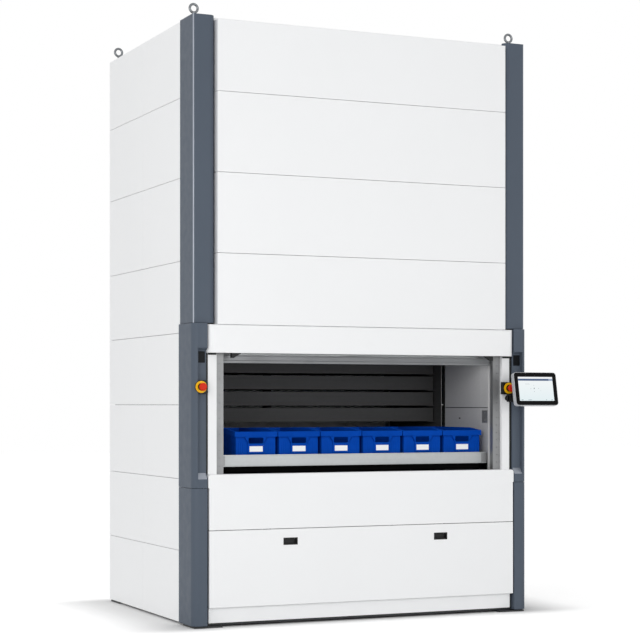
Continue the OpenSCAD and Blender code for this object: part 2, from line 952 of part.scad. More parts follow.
module control_box() {
    color(dark) pan([box_x - box_w / 2, box_x + box_w / 2], [box_y, box_y + box_d], [floor_z, floor_z + box_h],
        sheet_t, [0, 0, -1]);
}

module door_motor() {
    x = motor_half;
    color(steel) difference() {
        block([-x, x], [pinion_y - x / 2, pinion_y + 2 * door_shaft_r], [pinion_z - lap, hood_top - rail_h / 2]);
        rod([-x - over, x + over], pinion_y, pinion_z, door_shaft_r + run_gap);
    }
}

module lifting_eyes() {
    z = roof_z + roof_t;
    color(steel) both() for (y = [eye_y, eye_back]) translate([eye_x, fy(y), z]) {
        translate([0, 0, -top_h / 2]) cylinder(r = eye_shank_r, h = top_h / 2);
        cylinder(r = eye_t, h = lap);
        cylinder(r = eye_t / 2, h = eye_rise - eye_r - eye_t / 2);
        translate([0, 0, eye_rise]) rotate([90, 0, 0]) difference() {
            rotate_extrude() translate([eye_ring, 0]) circle(eye_t / 2);
            cylinder(r = eye_r, h = eye_t, center = true);
        }
    }
}

// Lift

module lift_carriages() {
    x = [carriage_x, carriage_x + carriage_t];
    z = [carriage_z, carriage_z + carriage_h];
    web = guide_d / 2 + 12;
    run = pulley_r + slide_gap;
    play = door_gap;
    color(steel) both() difference() {
        union() {
            block(x, [lift_y - 2 * web, lift_y + 2 * web], z);
            block([x[1], guide_post_x - 2], [lift_y - web, lift_y + web], [z[0] + lap, z[1] - lap]);
            block([x[1], belt_x + belt_w + 5], [lift_y - run - belt_t - 8, lift_y - web + over],
                [tray_z - tab, tray_z + tab]);
        }
        block([guide_x - slide_gap, guide_post_x],
            [lift_y - guide_d / 2 - slide_gap, lift_y + guide_d / 2 + slide_gap], [z[0] - over, z[1] + over]);
        block([belt_x - play, belt_x + belt_w + play], [lift_y - run - belt_t - play, lift_y - run + play],
            [z[0] - over, z[1] + over]);
    }
}

module lift_platform() {
    t = tube_t;
    under = tray_z - platform_h;
    color(zinc) {
        both() {
            tube([platform_x - platform_w, platform_x], [tray_y + t, rack_y - tab / 2], [under, tray_z], t, 1);
            block([platform_x - t, carriage_x], [lift_y - guide_d / 2 + t, lift_y + guide_d / 2 - t],
                [under - beam_w / 2 + t / 2, tray_z - t]);
        }
        for (y = [tray_y + t, lift_y - tab / 2])
            tube([-platform_x, platform_x], [y, y + tab], [under - beam_w / 2, under], t, 0);
    }
}

module extractor_bar() {
    x = platform_x - platform_w - lap / 2;
    y = tray_y + lap;
    color(steel) tube([-x, x], [y, y + tab], [tray_z - platform_h + tube_t, tray_z], tube_t, 0);
}

module tray() {
    z = [tray_z, tray_z + tray_h];
    color(zinc) {
        pan([-tray_x, tray_x], [tray_y, tray_y + tray_d], z, tray_t, [0, 0, 1]);
        both() block([tray_x - bracket_w, tray_x], [tray_y - over, tray_y + over], z);
    }
}

// Length along X of a side view, y counted from the cover fronts
module side_view(x, points) {
    translate([x[0], fy(0), 0]) rotate([90, 0, 90]) linear_extrude(x[1] - x[0]) polygon(points);
}

module bin(i) {
    x = bin_x(i);
    w = (bin_pitch - bin_gap) / 2;
    inset = rim_out + bin_t;
    end_y = bin_y + bin_d;
    ramp_y = bin_y + bin_ramp;
    high = bin_top + bin_rise;
    color(bin_blue) difference() {
        union() {
            side_view([x - w + rim_out, x + w - rim_out], [[body_y, bin_z], [end_y - rim_out, bin_z],
                [end_y - rim_out, high], [ramp_y, high], [body_y, bin_top]]);
            side_view([x - w, x + w], [[bin_y, bin_top - bin_rim], [ramp_y, high - bin_rim],
                [end_y, high - bin_rim], [end_y, high], [ramp_y, high], [bin_y, bin_top]]);
            block([x - holder_w / 2, x + holder_w / 2], [holder_y, body_y + over],
                [bin_top - holder_h, bin_top - bin_rim + over]);
        }
        block([x - w + inset, x + w - inset], [bin_y + inset, end_y - inset], [bin_z + bin_t, high + over]);
        block([x - hand_w / 2, x + hand_w / 2], [bin_y - over, bin_y + inset + over],
            [bin_top - hand_drop - hand_h, bin_top - hand_drop]);
    }
}

module bin_labels() {
    t = 0.8;
    color("white") for (i = [1 : bins_n]) block([bin_x(i) - label_w / 2, bin_x(i) + label_w / 2],
        [holder_y - t, holder_y], [bin_top - label_drop - label_h, bin_top - label_drop]);
}

// Door

module door_leaf() {
    t = 1.5;
    color(zinc) {
        pan([-door_x, door_x], leaf_y, [door_z, door_z + door_h], t, [0, 1, 0]);
        both() block([pinion_x, pinion_x + pinion_w], [leaf_y[0] - rack_t, leaf_y[0] + t / 2],
            [door_z + bar_h, door_z + door_h]);
    }
}

module door_bar() {
    x = tray_x - lap / 2;
    color(alu) block([-x, x], [leaf_y[0] - bar_d, leaf_y[0]], [door_z, door_z + bar_h]);
}

module door_shaft() {
    x = bearing_x[1];
    color(steel) {
        rod([-x, x], pinion_y, pinion_z, door_shaft_r);
        both() rod([pinion_x, pinion_x + pinion_w], pinion_y, pinion_z, pinion_r);
    }
}

// Flap

module flap_hinges() {
    y1 = pan_d + 2 * lap;
    w = hinge_arm_w;
    r = hinge_arm_r;
    pin = w + lug_w + 2 * lug_gap;
    color(steel) for (x = [-hinge_x, hinge_x]) {
        rod([x - w, x + w], hinge_y, hinge_z, r);
        block([x - w, x + w], [hinge_y, y1], [hinge_z - r + 0.5, hinge_z + r - 0.5]);
        block([x - w, x + w], [pan_d, y1], [base_z, hinge_z]);
        rod([x - pin, x + pin], hinge_y, hinge_z, hinge_r);
    }
}

// Both hinge lugs of the flap at one hinge
module flap_lugs(x) {
    for (s = [-1, 1]) {
        mid = x + s * (hinge_arm_w + lug_gap + lug_w / 2);
        difference() {
            block([mid - lug_w / 2, mid + lug_w / 2], [sheet_t - front_out - over, hinge_y + lug_w - over],
                [flap_z, hinge_z + lug_w - over]);
            rod([mid - lug_w, mid + lug_w], hinge_y, hinge_z, hinge_r + run_gap);
        }
    }
}

module flap_panel() {
    x = apron_x - apron_step;
    y = [-front_out, flap_d - front_out];
    notch = hinge_arm_w + lug_gap / 2;
    w = pull_w / 2 - cup_in + slide_gap;
    h = pull_h / 2 - cup_in + slide_gap;
    color(white) {
        difference() {
            pan([-x, x], y, [flap_z, flap_top], sheet_t, [0, 1, 0]);
            for (c = [-hinge_x, hinge_x])
                block([c - notch, c + notch], [y[0] + sheet_t, y[1] + over], [flap_z - over, flap_z + 2 * sheet_t]);
            for (c = [-pull_x, pull_x]) block([c - w, c + w], [y[0] - over, y[1]], [pull_z - h, pull_z + h]);
        }
        for (c = [-hinge_x, hinge_x]) flap_lugs(c);
    }
}

module finger_pulls() {
    lip = 1.5;
    w = pull_w / 2;
    h = pull_h / 2;
    t = cup_in + 2;
    color(black) for (x = [-pull_x, pull_x]) difference() {
        union() {
            block([x - w, x + w], [-front_out - lip, -front_out], [pull_z - h, pull_z + h]);
            block([x - w + cup_in, x + w - cup_in], [-front_out, pull_d - front_out],
                [pull_z - h + cup_in, pull_z + h - cup_in]);
        }
        block([x - w + t, x + w - t], [-front_out - 2 * lip, pull_d - front_out - lip],
            [pull_z - h + t, pull_z + h - t]);
    }
}

// Controls

module sensor_windows() {
    x = wide_x0 + pocket_w / 2 + over;
    z = pocket_top - slope_top - lap / 2;
    color(black) both() block([x - window_w / 2, x + window_w / 2], [pocket_y - window_t, pocket_y],
        [z - window_h, z]);
}

// Stem hole of an emergency stop
module stem_hole(x, y) {
    translate([x, fy(y + stem_l), stop_z]) rotate([90, 0, 0])
        cylinder(r = stem_r + slide_gap, h = stem_l + collar_t + over);
}

module stop_bases() {
    half = stop_base / 2;
    color(black) {
        difference() {
            block([2 - wide_x0 - pocket_w, -wide_x0 - 2], [left_base_y, pocket_y], [stop_z - half, stop_z + half]);
            stem_hole(-left_stop_x, left_base_y);
        }
        difference() {
            block([stop_x - half, stop_x + half], [right_base_y, trim_y], [stop_z - half, stop_z + half]);
            stem_hole(stop_x, right_base_y);
        }
    }
}

module stop_collars() {
    color("gold") for (p = [[-left_stop_x, left_base_y], [stop_x, right_base_y]]) difference() {
        translate([p[0], fy(p[1]), stop_z]) rotate([90, 0, 0]) cylinder(r = collar_r, h = collar_t);
        stem_hole(p[0], p[1]);
    }
}

// Mushroom head with its stem
module stop_head(x, y) {
    side = [[0, -lap], [stem_r, -lap], [stem_r, stop_lift], [stop_r - 3, stop_lift], [stop_r, stop_lift + 5],
        [stop_r, stop_lift + 11], [stop_r - 5, stop_lift + 16], [0, stop_lift + 16]];
    color("red") translate([x, fy(y), stop_z]) rotate([90, 0, 0]) rotate_extrude() polygon(side);
}

module stop_head_left() {
    stop_head(-left_stop_x, left_base_y);
}

module stop_head_right() {
    stop_head(stop_x, right_base_y);
}

module console_mount() {
    x = [pivot_x - fork_w, pivot_x + fork_w];
    web_y = pivot_y + fork_w + 2;
    z0 = pivot_z - knuckle_h / 2 - slide_gap;
    z1 = pivot_z + knuckle_h / 2 + slide_gap;
    color(black) {
        translate([pivot_x, fy(trim_y), pivot_z]) rotate([90, 0, 0]) {
            cylinder(r = flange_r, h = fork_t);
            cylinder(r = boss_r, h = trim_y - web_y - over);
        }
        block(x, [web_y, web_y + lap], [z0 - fork_t, z1 + fork_t]);
        for (z = [z0 - fork_t, z1]) block(x, [pivot_y - fork_w, web_y + over], [z, z + fork_t]);
        translate([pivot_x, fy(pivot_y), z0 - fork_t]) cylinder(r = pivot_r, h = z1 - z0 + 2 * fork_t);
    }
}

module console_arm() {
    half = tilt_head_w / 2;
    w = boss_r - over;
    color(dark) difference() {
        union() {
            translate([pivot_x, fy(pivot_y), pivot_z]) {
                cylinder(r = fork_w, h = knuckle_h, center = true);
                rotate([0, 0, arm_angle]) translate([0, -w, -bar_half]) cube([arm_l, 2 * w, 2 * bar_half]);
            }
            translate([arm_end[0], fy(arm_end[1]), pivot_z - bar_half]) cylinder(r = boss_r, h = tilt_rise + bar_half);
            rod([arm_end[0] - half, arm_end[0] + half], arm_end[1], tilt_z, boss_r);
            rod([arm_end[0] - half - tilt_lug, arm_end[0] + half + tilt_lug], arm_end[1], tilt_z, tilt_r);
        }
        translate([pivot_x, fy(pivot_y), pivot_z])
            cylinder(r = pivot_r + run_gap, h = knuckle_h + 2 * over, center = true);
    }
}

// Touch panel frame of reference: tilt pin at the origin, leaning back
module panel_place() {
    translate([arm_end[0], fy(arm_end[1]), tilt_z]) rotate([-panel_lean, 0, 0]) children();
}

module panel_housing() {
    lug_x = tilt_head_w / 2 + slide_gap + tilt_lug / 2;
    color(zinc) panel_place() difference() {
        union() {
            translate([-panel_w / 2, -panel_back - panel_d, -panel_h / 2]) cube([panel_w, panel_d, panel_h]);
            for (s = [-1, 1]) translate([s * lug_x - tilt_lug / 2, -panel_back - over, -bar_half])
                cube([tilt_lug, panel_back + over + bar_half, 2 * bar_half]);
        }
        translate([glass_in - panel_w / 2, -panel_back - panel_d - over, glass_in - panel_h / 2])
            cube([panel_w - 2 * glass_in, glass_t + over, panel_h - 2 * glass_in]);
        rotate([0, 90, 0]) cylinder(r = tilt_r + run_gap, h = panel_w, center = true);
    }
}

module panel_screen() {
    edge = glass_in + slide_gap;
    color(black) panel_place() difference() {
        translate([edge - panel_w / 2, -panel_back - panel_d, edge - panel_h / 2])
            cube([panel_w - 2 * edge, glass_t, panel_h - 2 * edge]);
        translate([-screen_w / 2, -panel_back - panel_d - over, -screen_h / 2]) cube([screen_w, over + 0.5, screen_h]);
    }
}

base_frame();
floor_plates();
base_pan();
posts();
mullions();
top_frame();
front_rails();
roof_panel();
upper_covers();
middle_covers();
lower_covers();
left_side_panels();
right_side_panels();
rear_panels();
front_panels();
hood();
sill_panel();
toe_kick();
trims();
light_curtains();
door_guides();
liners();
rack_plates();
tray_supports();
stored_trays();
guide_rails();
lift_belts();
gearmotor();
shaft_bearings();
door_motor();
control_box();
lifting_eyes();
sensor_windows();
stop_bases();
stop_collars();
flap_hinges();
console_mount();
lift_platform();
lift_carriages();
extractor_bar();
tray();
bin(1);  // bin_1
bin(2);  // bin_2
bin(3);  // bin_3
bin(4);  // bin_4
bin(5);  // bin_5
bin(6);  // bin_6
bin_labels();
door_leaf();
door_bar();
drive_shaft();
idler_shaft();
door_shaft();
flap_panel();
finger_pulls();
console_arm();
panel_housing();
panel_screen();
stop_head_left();
stop_head_right();
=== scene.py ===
import json
import math

import bmesh
import bpy
from mathutils import Matrix, Vector


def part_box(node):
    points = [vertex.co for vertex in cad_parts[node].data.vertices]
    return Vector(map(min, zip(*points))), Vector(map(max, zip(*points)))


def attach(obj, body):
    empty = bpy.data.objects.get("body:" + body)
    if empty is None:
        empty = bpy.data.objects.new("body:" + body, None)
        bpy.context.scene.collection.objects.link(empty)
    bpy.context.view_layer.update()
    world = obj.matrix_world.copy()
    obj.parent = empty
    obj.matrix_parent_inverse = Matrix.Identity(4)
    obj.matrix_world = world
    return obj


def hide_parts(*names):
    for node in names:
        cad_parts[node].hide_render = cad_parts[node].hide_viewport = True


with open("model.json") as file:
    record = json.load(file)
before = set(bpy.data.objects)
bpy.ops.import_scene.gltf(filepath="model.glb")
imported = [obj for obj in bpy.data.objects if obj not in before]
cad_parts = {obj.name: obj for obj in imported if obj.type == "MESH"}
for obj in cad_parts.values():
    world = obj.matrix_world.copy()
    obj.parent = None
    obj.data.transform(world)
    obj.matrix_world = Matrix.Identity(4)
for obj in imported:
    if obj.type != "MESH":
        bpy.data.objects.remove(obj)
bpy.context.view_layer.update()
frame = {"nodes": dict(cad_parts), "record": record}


# Camera
# A long lens from the front left at chest height. It looks level and is shifted up, so that uprights
# stay upright.
camera_data = bpy.data.cameras.new("view")
camera_data.sensor_width = 36
camera_data.lens = 100.18
camera_data.shift_y = 0.13125
camera = bpy.data.objects.new("view", camera_data)
camera.location = (-4.0128, -9.0803, 1.1245)
camera.rotation_euler = (math.radians(90), 0, math.radians(-24.108))
bpy.context.scene.collection.objects.link(camera)
bpy.context.scene.camera = camera


# Studio
# A pale floor under a white surround that is brighter at the left, with a soft lamp at the front left, a
# weaker one in front, and strips under the hood and behind the raised door. The floor glows a little where
# the lens, a gloss or a glass sees it, less and less towards the object's footprint: a painted shade round
# the base.
bpy.context.scene.view_settings.view_transform = "Standard"


def add_node(tree, kind, inputs=None, **settings):
    """A shader node with its settings, its inputs set or linked to a socket or a node's first output."""
    made = tree.nodes.new("ShaderNode" + kind)
    for key, value in settings.items():
        setattr(made, key, value)
    for key, value in (inputs or {}).items():
        if isinstance(value, bpy.types.Node):
            value = value.outputs[0]
        if isinstance(value, bpy.types.NodeSocket):
            tree.links.new(value, made.inputs[key])
        else:
            made.inputs[key].default_value = value
    return made


def ranged(tree, value, span, out=(0.0, 1.0), **settings):
    """A value carried over from one span to another."""
    ends = {"From Min": span[0], "From Max": span[1], "To Min": out[0], "To Max": out[1]}
    return add_node(tree, "MapRange", {"Value": value, **ends}, **settings)


def set_sockets(shader, values):
    """Sets plain values on a shader's own sockets."""
    for label, value in values.items():
        shader.inputs[label].default_value = value


def seen_directly(tree):
    """One where the lens, a gloss or a glass looks, nought where light is gathered."""
    path = add_node(tree, "LightPath")
    first = add_node(tree, "Math", {0: path.outputs["Is Camera Ray"], 1: path.outputs["Is Glossy Ray"]},
                     operation="MAXIMUM")
    return add_node(tree, "Math", {0: first, 1: path.outputs["Is Transmission Ray"]}, operation="MAXIMUM")


surround_left = 0.95
surround_right = 0.5
world = bpy.data.worlds.new("white surround")
bpy.context.scene.world = world
world.use_nodes = True
sky = world.node_tree
look = add_node(sky, "TexCoord")
heading = add_node(sky, "SeparateXYZ", {"Vector": look.outputs["Generated"]})
fall = ranged(sky, heading.outputs["X"], (-1.0, 1.0), (surround_left, surround_right))
level = ranged(sky, seen_directly(sky), (0.0, 1.0), (fall, 1.0))
backdrop = sky.nodes["Background"]
backdrop.inputs["Color"].default_value = (1, 1, 1, 1)
sky.links.new(level.outputs[0], backdrop.inputs["Strength"])

floor_half = 30.0
floor_shade = 0.81
floor_glow = 0.44
painted_shade_reach = (0.5, 0.2)
bpy.ops.object.select_all(action="DESELECT")
bpy.ops.mesh.primitive_plane_add(size=2 * floor_half)
floor = bpy.context.object
floor.name = "floor"
floor_paint = bpy.data.materials.new("pale floor")
floor_paint.use_nodes = True
floor_tree = floor_paint.node_tree
floor_shader = floor_tree.nodes["Principled BSDF"]
set_sockets(floor_shader, {"Base Color": (floor_shade, floor_shade, floor_shade, 1), "Roughness": 0.9,
                           "Specular IOR Level": 0.1, "Emission Color": (1, 1, 1, 1)})
# The glow fades towards the base frame's footprint, further out at the sides than at the front: painted
# shade round the base
foot_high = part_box("base_frame")[1]
place = add_node(floor_tree, "TexCoord")
from_middle = add_node(floor_tree, "VectorMath", {0: place.outputs["Object"]}, operation="ABSOLUTE")
past_edge = add_node(floor_tree, "VectorMath", {0: from_middle, 1: (foot_high.x, foot_high.y, 0)},
                     operation="SUBTRACT")
outside = add_node(floor_tree, "VectorMath", {0: past_edge, 1: (0, 0, 0)}, operation="MAXIMUM")
share = add_node(floor_tree, "VectorMath", {0: outside, 1: (*painted_shade_reach, 1)}, operation="DIVIDE")
far = add_node(floor_tree, "VectorMath", {0: share}, operation="LENGTH")
past_painted_shade = ranged(floor_tree, far.outputs["Value"], (0.0, 1.0), interpolation_type="SMOOTHSTEP")
glow_past_painted_shade = add_node(floor_tree, "Math", {0: past_painted_shade, 1: floor_glow}, operation="MULTIPLY")
glow = add_node(floor_tree, "Math", {0: seen_directly(floor_tree), 1: glow_past_painted_shade}, operation="MULTIPLY")
floor_tree.links.new(glow.outputs[0], floor_shader.inputs["Emission Strength"])
floor.data.materials.append(floor_paint)


def soft_lamp(name, place, target, side, power):
    """A square soft lamp that looks at a point."""
    data = bpy.data.lights.new(name, "AREA")
    data.size = side
    data.energy = power
    lamp = bpy.data.objects.new(name, data)
    lamp.location = place
    lamp.rotation_euler = (Vector(target) - Vector(place)).to_track_quat("-Z", "Y").to_euler()
    bpy.context.scene.collection.objects.link(lamp)
    return data


soft_lamp("key lamp", (-5.5, -7.0, 2.6), (0, 0, 1.4), 2.5, 120)
soft_lamp("front lamp", (1.0, -8.0, 1.7), (0, 0, 0.8), 2.5, 63)
strip_length = 1.45
strip_width = 0.04
for strip_name, lamp_y, lamp_z, lamp_power in (("bay strip", -0.56, 1.366, 1.1),
                                               ("hood strip", -0.68, 1.392, 0.7)):
    strip_lamp = soft_lamp(strip_name, (0, lamp_y, lamp_z), (0, lamp_y + 0.1, 0.9), strip_length, lamp_power)
    strip_lamp.shape = "RECTANGLE"
    strip_lamp.size_y = strip_width


# Steel frame
# Square tubes and folded channels welded into a base, posts, mullions and a top ring, with the floor plates
# under the corners. Sprayed dark grey before the lift and the cladding are hung on it.


def new_group(name, inputs, outputs):
    """A shader node group with its input and output sockets."""
    made = bpy.data.node_groups.new(name, "ShaderNodeTree")
    for label, kind, value in inputs:
        socket = made.interface.new_socket(label, in_out="INPUT", socket_type="NodeSocket" + kind)
        socket.default_value = value
    for label, kind in outputs:
        made.interface.new_socket(label, in_out="OUTPUT", socket_type="NodeSocket" + kind)
    return made, made.nodes.new("NodeGroupInput"), made.nodes.new("NodeGroupOutput")


def noise(tree, scale, detail, **more):
    """Noise in a piece's own place."""
    place = add_node(tree, "TexCoord")
    return add_node(tree, "TexNoise", {"Vector": place.outputs["Object"], "Scale": scale, "Detail": detail,
                                       **more})


def toned(tree, color, value, saturation=1.0):
    """A colour made lighter or darker."""
    return add_node(tree, "HueSaturation", {"Color": color, "Value": value, "Saturation": saturation})


skin_outputs = [("Color", "Color"), ("Roughness", "Float"), ("Normal", "Vector")]


def put_out(tree, sink, color, roughness, normal):
    """Hands a colour, a roughness and a normal to a group's outputs."""
    for label, source in (("Color", color), ("Roughness", roughness), ("Normal", normal)):
        tree.links.new(source.outputs[0], sink.inputs[label])


# Edges that hands and trolleys rub, found where a small rounding would turn the surface
rubbed, rubbed_in, rubbed_out = new_group("rubbed edges", [("Radius", "Float", 0.002)], [("Mask", "Float")])
rounding = add_node(rubbed, "Bevel", {"Radius": rubbed_in.outputs["Radius"]}, samples=4)
surface = add_node(rubbed, "NewGeometry")
turn = add_node(rubbed, "VectorMath", {0: rounding, 1: surface.outputs["Normal"]}, operation="DOT_PRODUCT")
edge = ranged(rubbed, turn.outputs["Value"], (0.995, 0.8))
worn = ranged(rubbed, noise(rubbed, 14.0, 4.0), (0.35, 0.75))
mask = add_node(rubbed, "Math", {0: edge, 1: worn}, operation="MULTIPLY")
rubbed.links.new(mask.outputs[0], rubbed_out.inputs["Mask"])

# Powder coat: fine orange peel, a slow drift of shade and paler rubbed edges
coat, coat_in, coat_out = new_group(
    "powder coat",
    [("Color", "Color", (0.5, 0.5, 0.5, 1)), ("Roughness", "Float", 0.45), ("Peel", "Float", 0.00006),
     ("Drift", "Float", 0.03), ("Rub", "Float", 0.3)], skin_outputs)
offset = ranged(coat, noise(coat, 1.7, 3.0), (0.3, 0.7), (-0.5, 0.5))
drift = add_node(coat, "Math", {0: offset, 1: coat_in.outputs["Drift"], 2: 1.0}, operation="MULTIPLY_ADD")
tone = toned(coat, coat_in.outputs["Color"], drift)
rub = add_node(coat, "Group", {"Radius": 0.003}, node_tree=rubbed)
amount = add_node(coat, "Math", {0: rub, 1: coat_in.outputs["Rub"]}, operation="MULTIPLY")
pale = toned(coat, tone, 1.7, 0.8)
skin = add_node(coat, "MixRGB", {"Fac": amount, "Color1": tone, "Color2": pale})
gloss = ranged(coat, noise(coat, 23.0, 5.0), (0.3, 0.7), (-0.05, 0.07))
dull = add_node(coat, "Math", {0: gloss, 1: coat_in.outputs["Roughness"]}, operation="ADD")
bumps = add_node(coat, "Bump", {"Height": noise(coat, 420.0, 2.0), "Distance": coat_in.outputs["Peel"],
                                "Strength": 1.0})
put_out(coat, coat_out, skin, dull, bumps)


def finish_with(name, shared, values, sockets=None):
    """A material whose colour, roughness and normal come from a shared group, with plain sockets set."""
    material = bpy.data.materials.new(name)
    material.use_nodes = True
    tree = material.node_tree
    shader = tree.nodes["Principled BSDF"]
    skin = add_node(tree, "Group", values, node_tree=shared)
    for label, target in (("Color", "Base Color"), ("Roughness", "Roughness"), ("Normal", "Normal")):
        tree.links.new(skin.outputs[label], shader.inputs[target])
    set_sockets(shader, sockets or {})
    return material


def srgb(red, green, blue):
    """A colour as it looks on screen, from 0 to 255, turned into linear light."""
    def linear(v):
        return v / 12.92 if v <= 0.04045 else ((v + 0.055) / 1.055) ** 2.4
    return tuple(linear(v / 255) for v in (red, green, blue)) + (1,)


def dress(names, material, edge=0.0):
    """Gives solids of the frame their finish and, for a folded or drawn edge, a small live rounding."""
    for name in names:
        solid = frame["nodes"][name]
        solid.data.materials.clear()
        solid.data.materials.append(material)
        if edge:
            weld = solid.modifiers.new("closed faces", "WELD")
            weld.merge_threshold = 0.00001
            flat = solid.modifiers.new("whole faces", "DECIMATE")
            flat.decimate_type = "DISSOLVE"
            flat.angle_limit = math.radians(0.5)
            bevel = solid.modifiers.new("rounded edges", "BEVEL")
            bevel.width = edge
            bevel.segments = 2
            bevel.limit_method = "ANGLE"
            bevel.angle_limit = math.radians(40)


frame_paint = finish_with("dark frame paint", coat,
                          {"Color": srgb(42, 44, 47), "Roughness": 0.5, "Rub": 0.4})
dress(["base_frame", "floor_plates", "base_pan", "posts", "mullions", "top_frame", "front_rails"],
      frame_paint, 0.0012)


# Inner sheet work
# Liners beside the lift shaft, rack plates with their tray rests, and the stored trays: all folded from
# galvanised sheet and left bare. The door guides are drawn from aluminium.
zinc, zinc_in, zinc_out = new_group(
    "galvanised sheet",
    [("Color", "Color", (0.5, 0.5, 0.5, 1)), ("Roughness", "Float", 0.42), ("Spangle", "Float", 0.1)],
    skin_outputs)
place = add_node(zinc, "TexCoord")
warp = noise(zinc, 40.0, 2.0)
bent = add_node(zinc, "VectorMath", {0: warp.outputs["Color"], 1: (0.03, 0.03, 0.03),
                                     2: place.outputs["Object"]}, operation="MULTIPLY_ADD")
crystals = add_node(zinc, "TexVoronoi", {"Vector": bent, "Scale": 85.0})
grey = add_node(zinc, "RGBToBW", {"Color": crystals.outputs["Color"]})
streak_map = add_node(zinc, "Mapping", {"Vector": place.outputs["Object"], "Scale": (3.0, 3.0, 140.0)})
streaks = noise(zinc, 1.0, 3.0, Vector=streak_map)
spread = ranged(zinc, grey, (0.2, 0.8), (-0.5, 0.5))
tone = add_node(zinc, "Math", {0: spread, 1: zinc_in.outputs["Spangle"], 2: 1.0}, operation="MULTIPLY_ADD")
flake = toned(zinc, zinc_in.outputs["Color"], tone)
sheen = ranged(zinc, streaks, (0.3, 0.7), (-0.05, 0.08))
dull = add_node(zinc, "Math", {0: sheen, 1: zinc_in.outputs["Roughness"]}, operation="ADD")
bumps = add_node(zinc, "Bump", {"Height": grey, "Distance": 0.00004, "Strength": 1.0})
put_out(zinc, zinc_out, flake, dull, bumps)

galvanised = finish_with("galvanised sheet", zinc, {"Color": srgb(174, 177, 178), "Spangle": 0.03},
                         {"Metallic": 0.75})
# A dark copy of the galvanised sheet: painted shade deep in the bay, on the rack plates, rests and stored
# trays, the strips behind the slots and the slot caps
shade_dark_sheet = finish_with("dull galvanised sheet", zinc,
                         {"Color": srgb(72, 72, 72), "Roughness": 0.6, "Spangle": 0.05},
                         {"Metallic": 0.2, "Specular IOR Level": 0.2})
bay_sheet = finish_with("pale bay sheet", zinc,
                        {"Color": srgb(190, 190, 190), "Roughness": 0.5, "Spangle": 0.03},
                        {"Metallic": 0.15})
dress(["liners"], bay_sheet, 0.0006)
dress(["rack_plates", "stored_trays", "tray_supports"], shade_dark_sheet, 0.0008)

# Drawn or turned metal: fine lines along the pull of the die or round the turning
lines, lines_in, lines_out = new_group(
    "drawn metal",
    [("Color", "Color", (0.5, 0.5, 0.5, 1)), ("Roughness", "Float", 0.3),
     ("Grain", "Vector", (800.0, 800.0, 4.0)), ("Depth", "Float", 0.00002)], skin_outputs)
place = add_node(lines, "TexCoord")
along = add_node(lines, "Mapping", {"Vector": place.outputs["Object"], "Scale": lines_in.outputs["Grain"]})
grain = noise(lines, 1.0, 3.0, Vector=along)
tone = ranged(lines, grain, (0.25, 0.75), (0.95, 1.05))
lined = toned(lines, lines_in.outputs["Color"], tone)
soft = ranged(lines, noise(lines, 9.0, 4.0), (0.3, 0.7), (-0.06, 0.08))
dull = add_node(lines, "Math", {0: soft, 1: lines_in.outputs["Roughness"]}, operation="ADD")
bumps = add_node(lines, "Bump", {"Height": grain, "Distance": lines_in.outputs["Depth"], "Strength": 1.0})
put_out(lines, lines_out, lined, dull, bumps)

upright_grain = (900.0, 900.0, 5.0)
level_grain = (5.0, 900.0, 900.0)
upright_aluminium = finish_with("anodised aluminium, drawn upright", lines,
                                {"Color": srgb(137, 138, 139), "Roughness": 0.4, "Grain": upright_grain},
                                {"Metallic": 0.6})
# A lighter copy of the drawn aluminium for the door guides: painted light against the shade they stand in
lit_guide_aluminium = finish_with("pale guide aluminium", lines,
                              {"Color": srgb(222, 222, 222), "Roughness": 0.45, "Grain": upright_grain},
                              {"Metallic": 0.2})
dress(["door_guides"], lit_guide_aluminium, 0.0005)


# Lift and drives
# Two belts between a driven and an idle shaft pull the carriages up ground guide rails, and a gearmotor
# turns the driven shaft. The platform is a welded frame of tube, coloured black as painted shade, and the
# door has its own small shaft and motor.
ground_steel = finish_with("ground steel, upright", lines,
                           {"Color": srgb(150, 154, 158), "Roughness": 0.28, "Grain": upright_grain},
                           {"Metallic": 1.0})
turned_steel = finish_with("turned steel", lines,
                           {"Color": srgb(158, 161, 165), "Roughness": 0.3, "Grain": (900.0, 30.0, 30.0)},
                           {"Metallic": 1.0})
cast_grey = finish_with("grey casting paint", coat,
                        {"Color": srgb(118, 122, 126), "Roughness": 0.5, "Peel": 0.0002, "Rub": 0.5})
dress(["guide_rails", "lift_carriages"], ground_steel, 0.0008)
dress(["drive_shaft", "idler_shaft", "door_shaft"], turned_steel, 0.0006)
dress(["gearmotor", "shaft_bearings", "door_motor"], cast_grey, 0.0012)
# Black on the platform and the extractor bar is painted shade under the tray; the same black serves the
# seals on the bay walls
black_seal_and_shade_paint = finish_with("black lift paint", coat, {"Color": srgb(6, 6, 6), "Roughness": 0.65, "Rub": 0.5},
                         {"Specular IOR Level": 0.03})
dress(["lift_platform", "extractor_bar"], black_seal_and_shade_paint, 0.001)

# Belt rubber with moulded cross ribs
ribs, ribs_in, ribs_out = new_group(
    "ribbed rubber", [("Color", "Color", (0.02, 0.02, 0.02, 1)), ("Pitch", "Float", 0.01)], skin_outputs)
place = add_node(ribs, "TexCoord")
height = add_node(ribs, "SeparateXYZ", {"Vector": place.outputs["Object"]})
count = add_node(ribs, "Math", {0: height.outputs["Z"], 1: ribs_in.outputs["Pitch"]}, operation="DIVIDE")
wave = add_node(ribs, "Math", {0: count, 1: 1.0}, operation="PINGPONG")
dust = noise(ribs, 60.0, 4.0)
rubber = toned(ribs, ribs_in.outputs["Color"], ranged(ribs, dust, (0.0, 1.0), (0.6, 1.9)))
dull = ranged(ribs, dust, (0.0, 1.0), (0.5, 0.85))
bumps = add_node(ribs, "Bump", {"Height": wave, "Distance": 0.001, "Strength": 0.8})
put_out(ribs, ribs_out, rubber, dull, bumps)
belt_rubber = finish_with("belt rubber", ribs, {"Color": srgb(34, 34, 35)})
dress(["lift_belts"], belt_rubber)


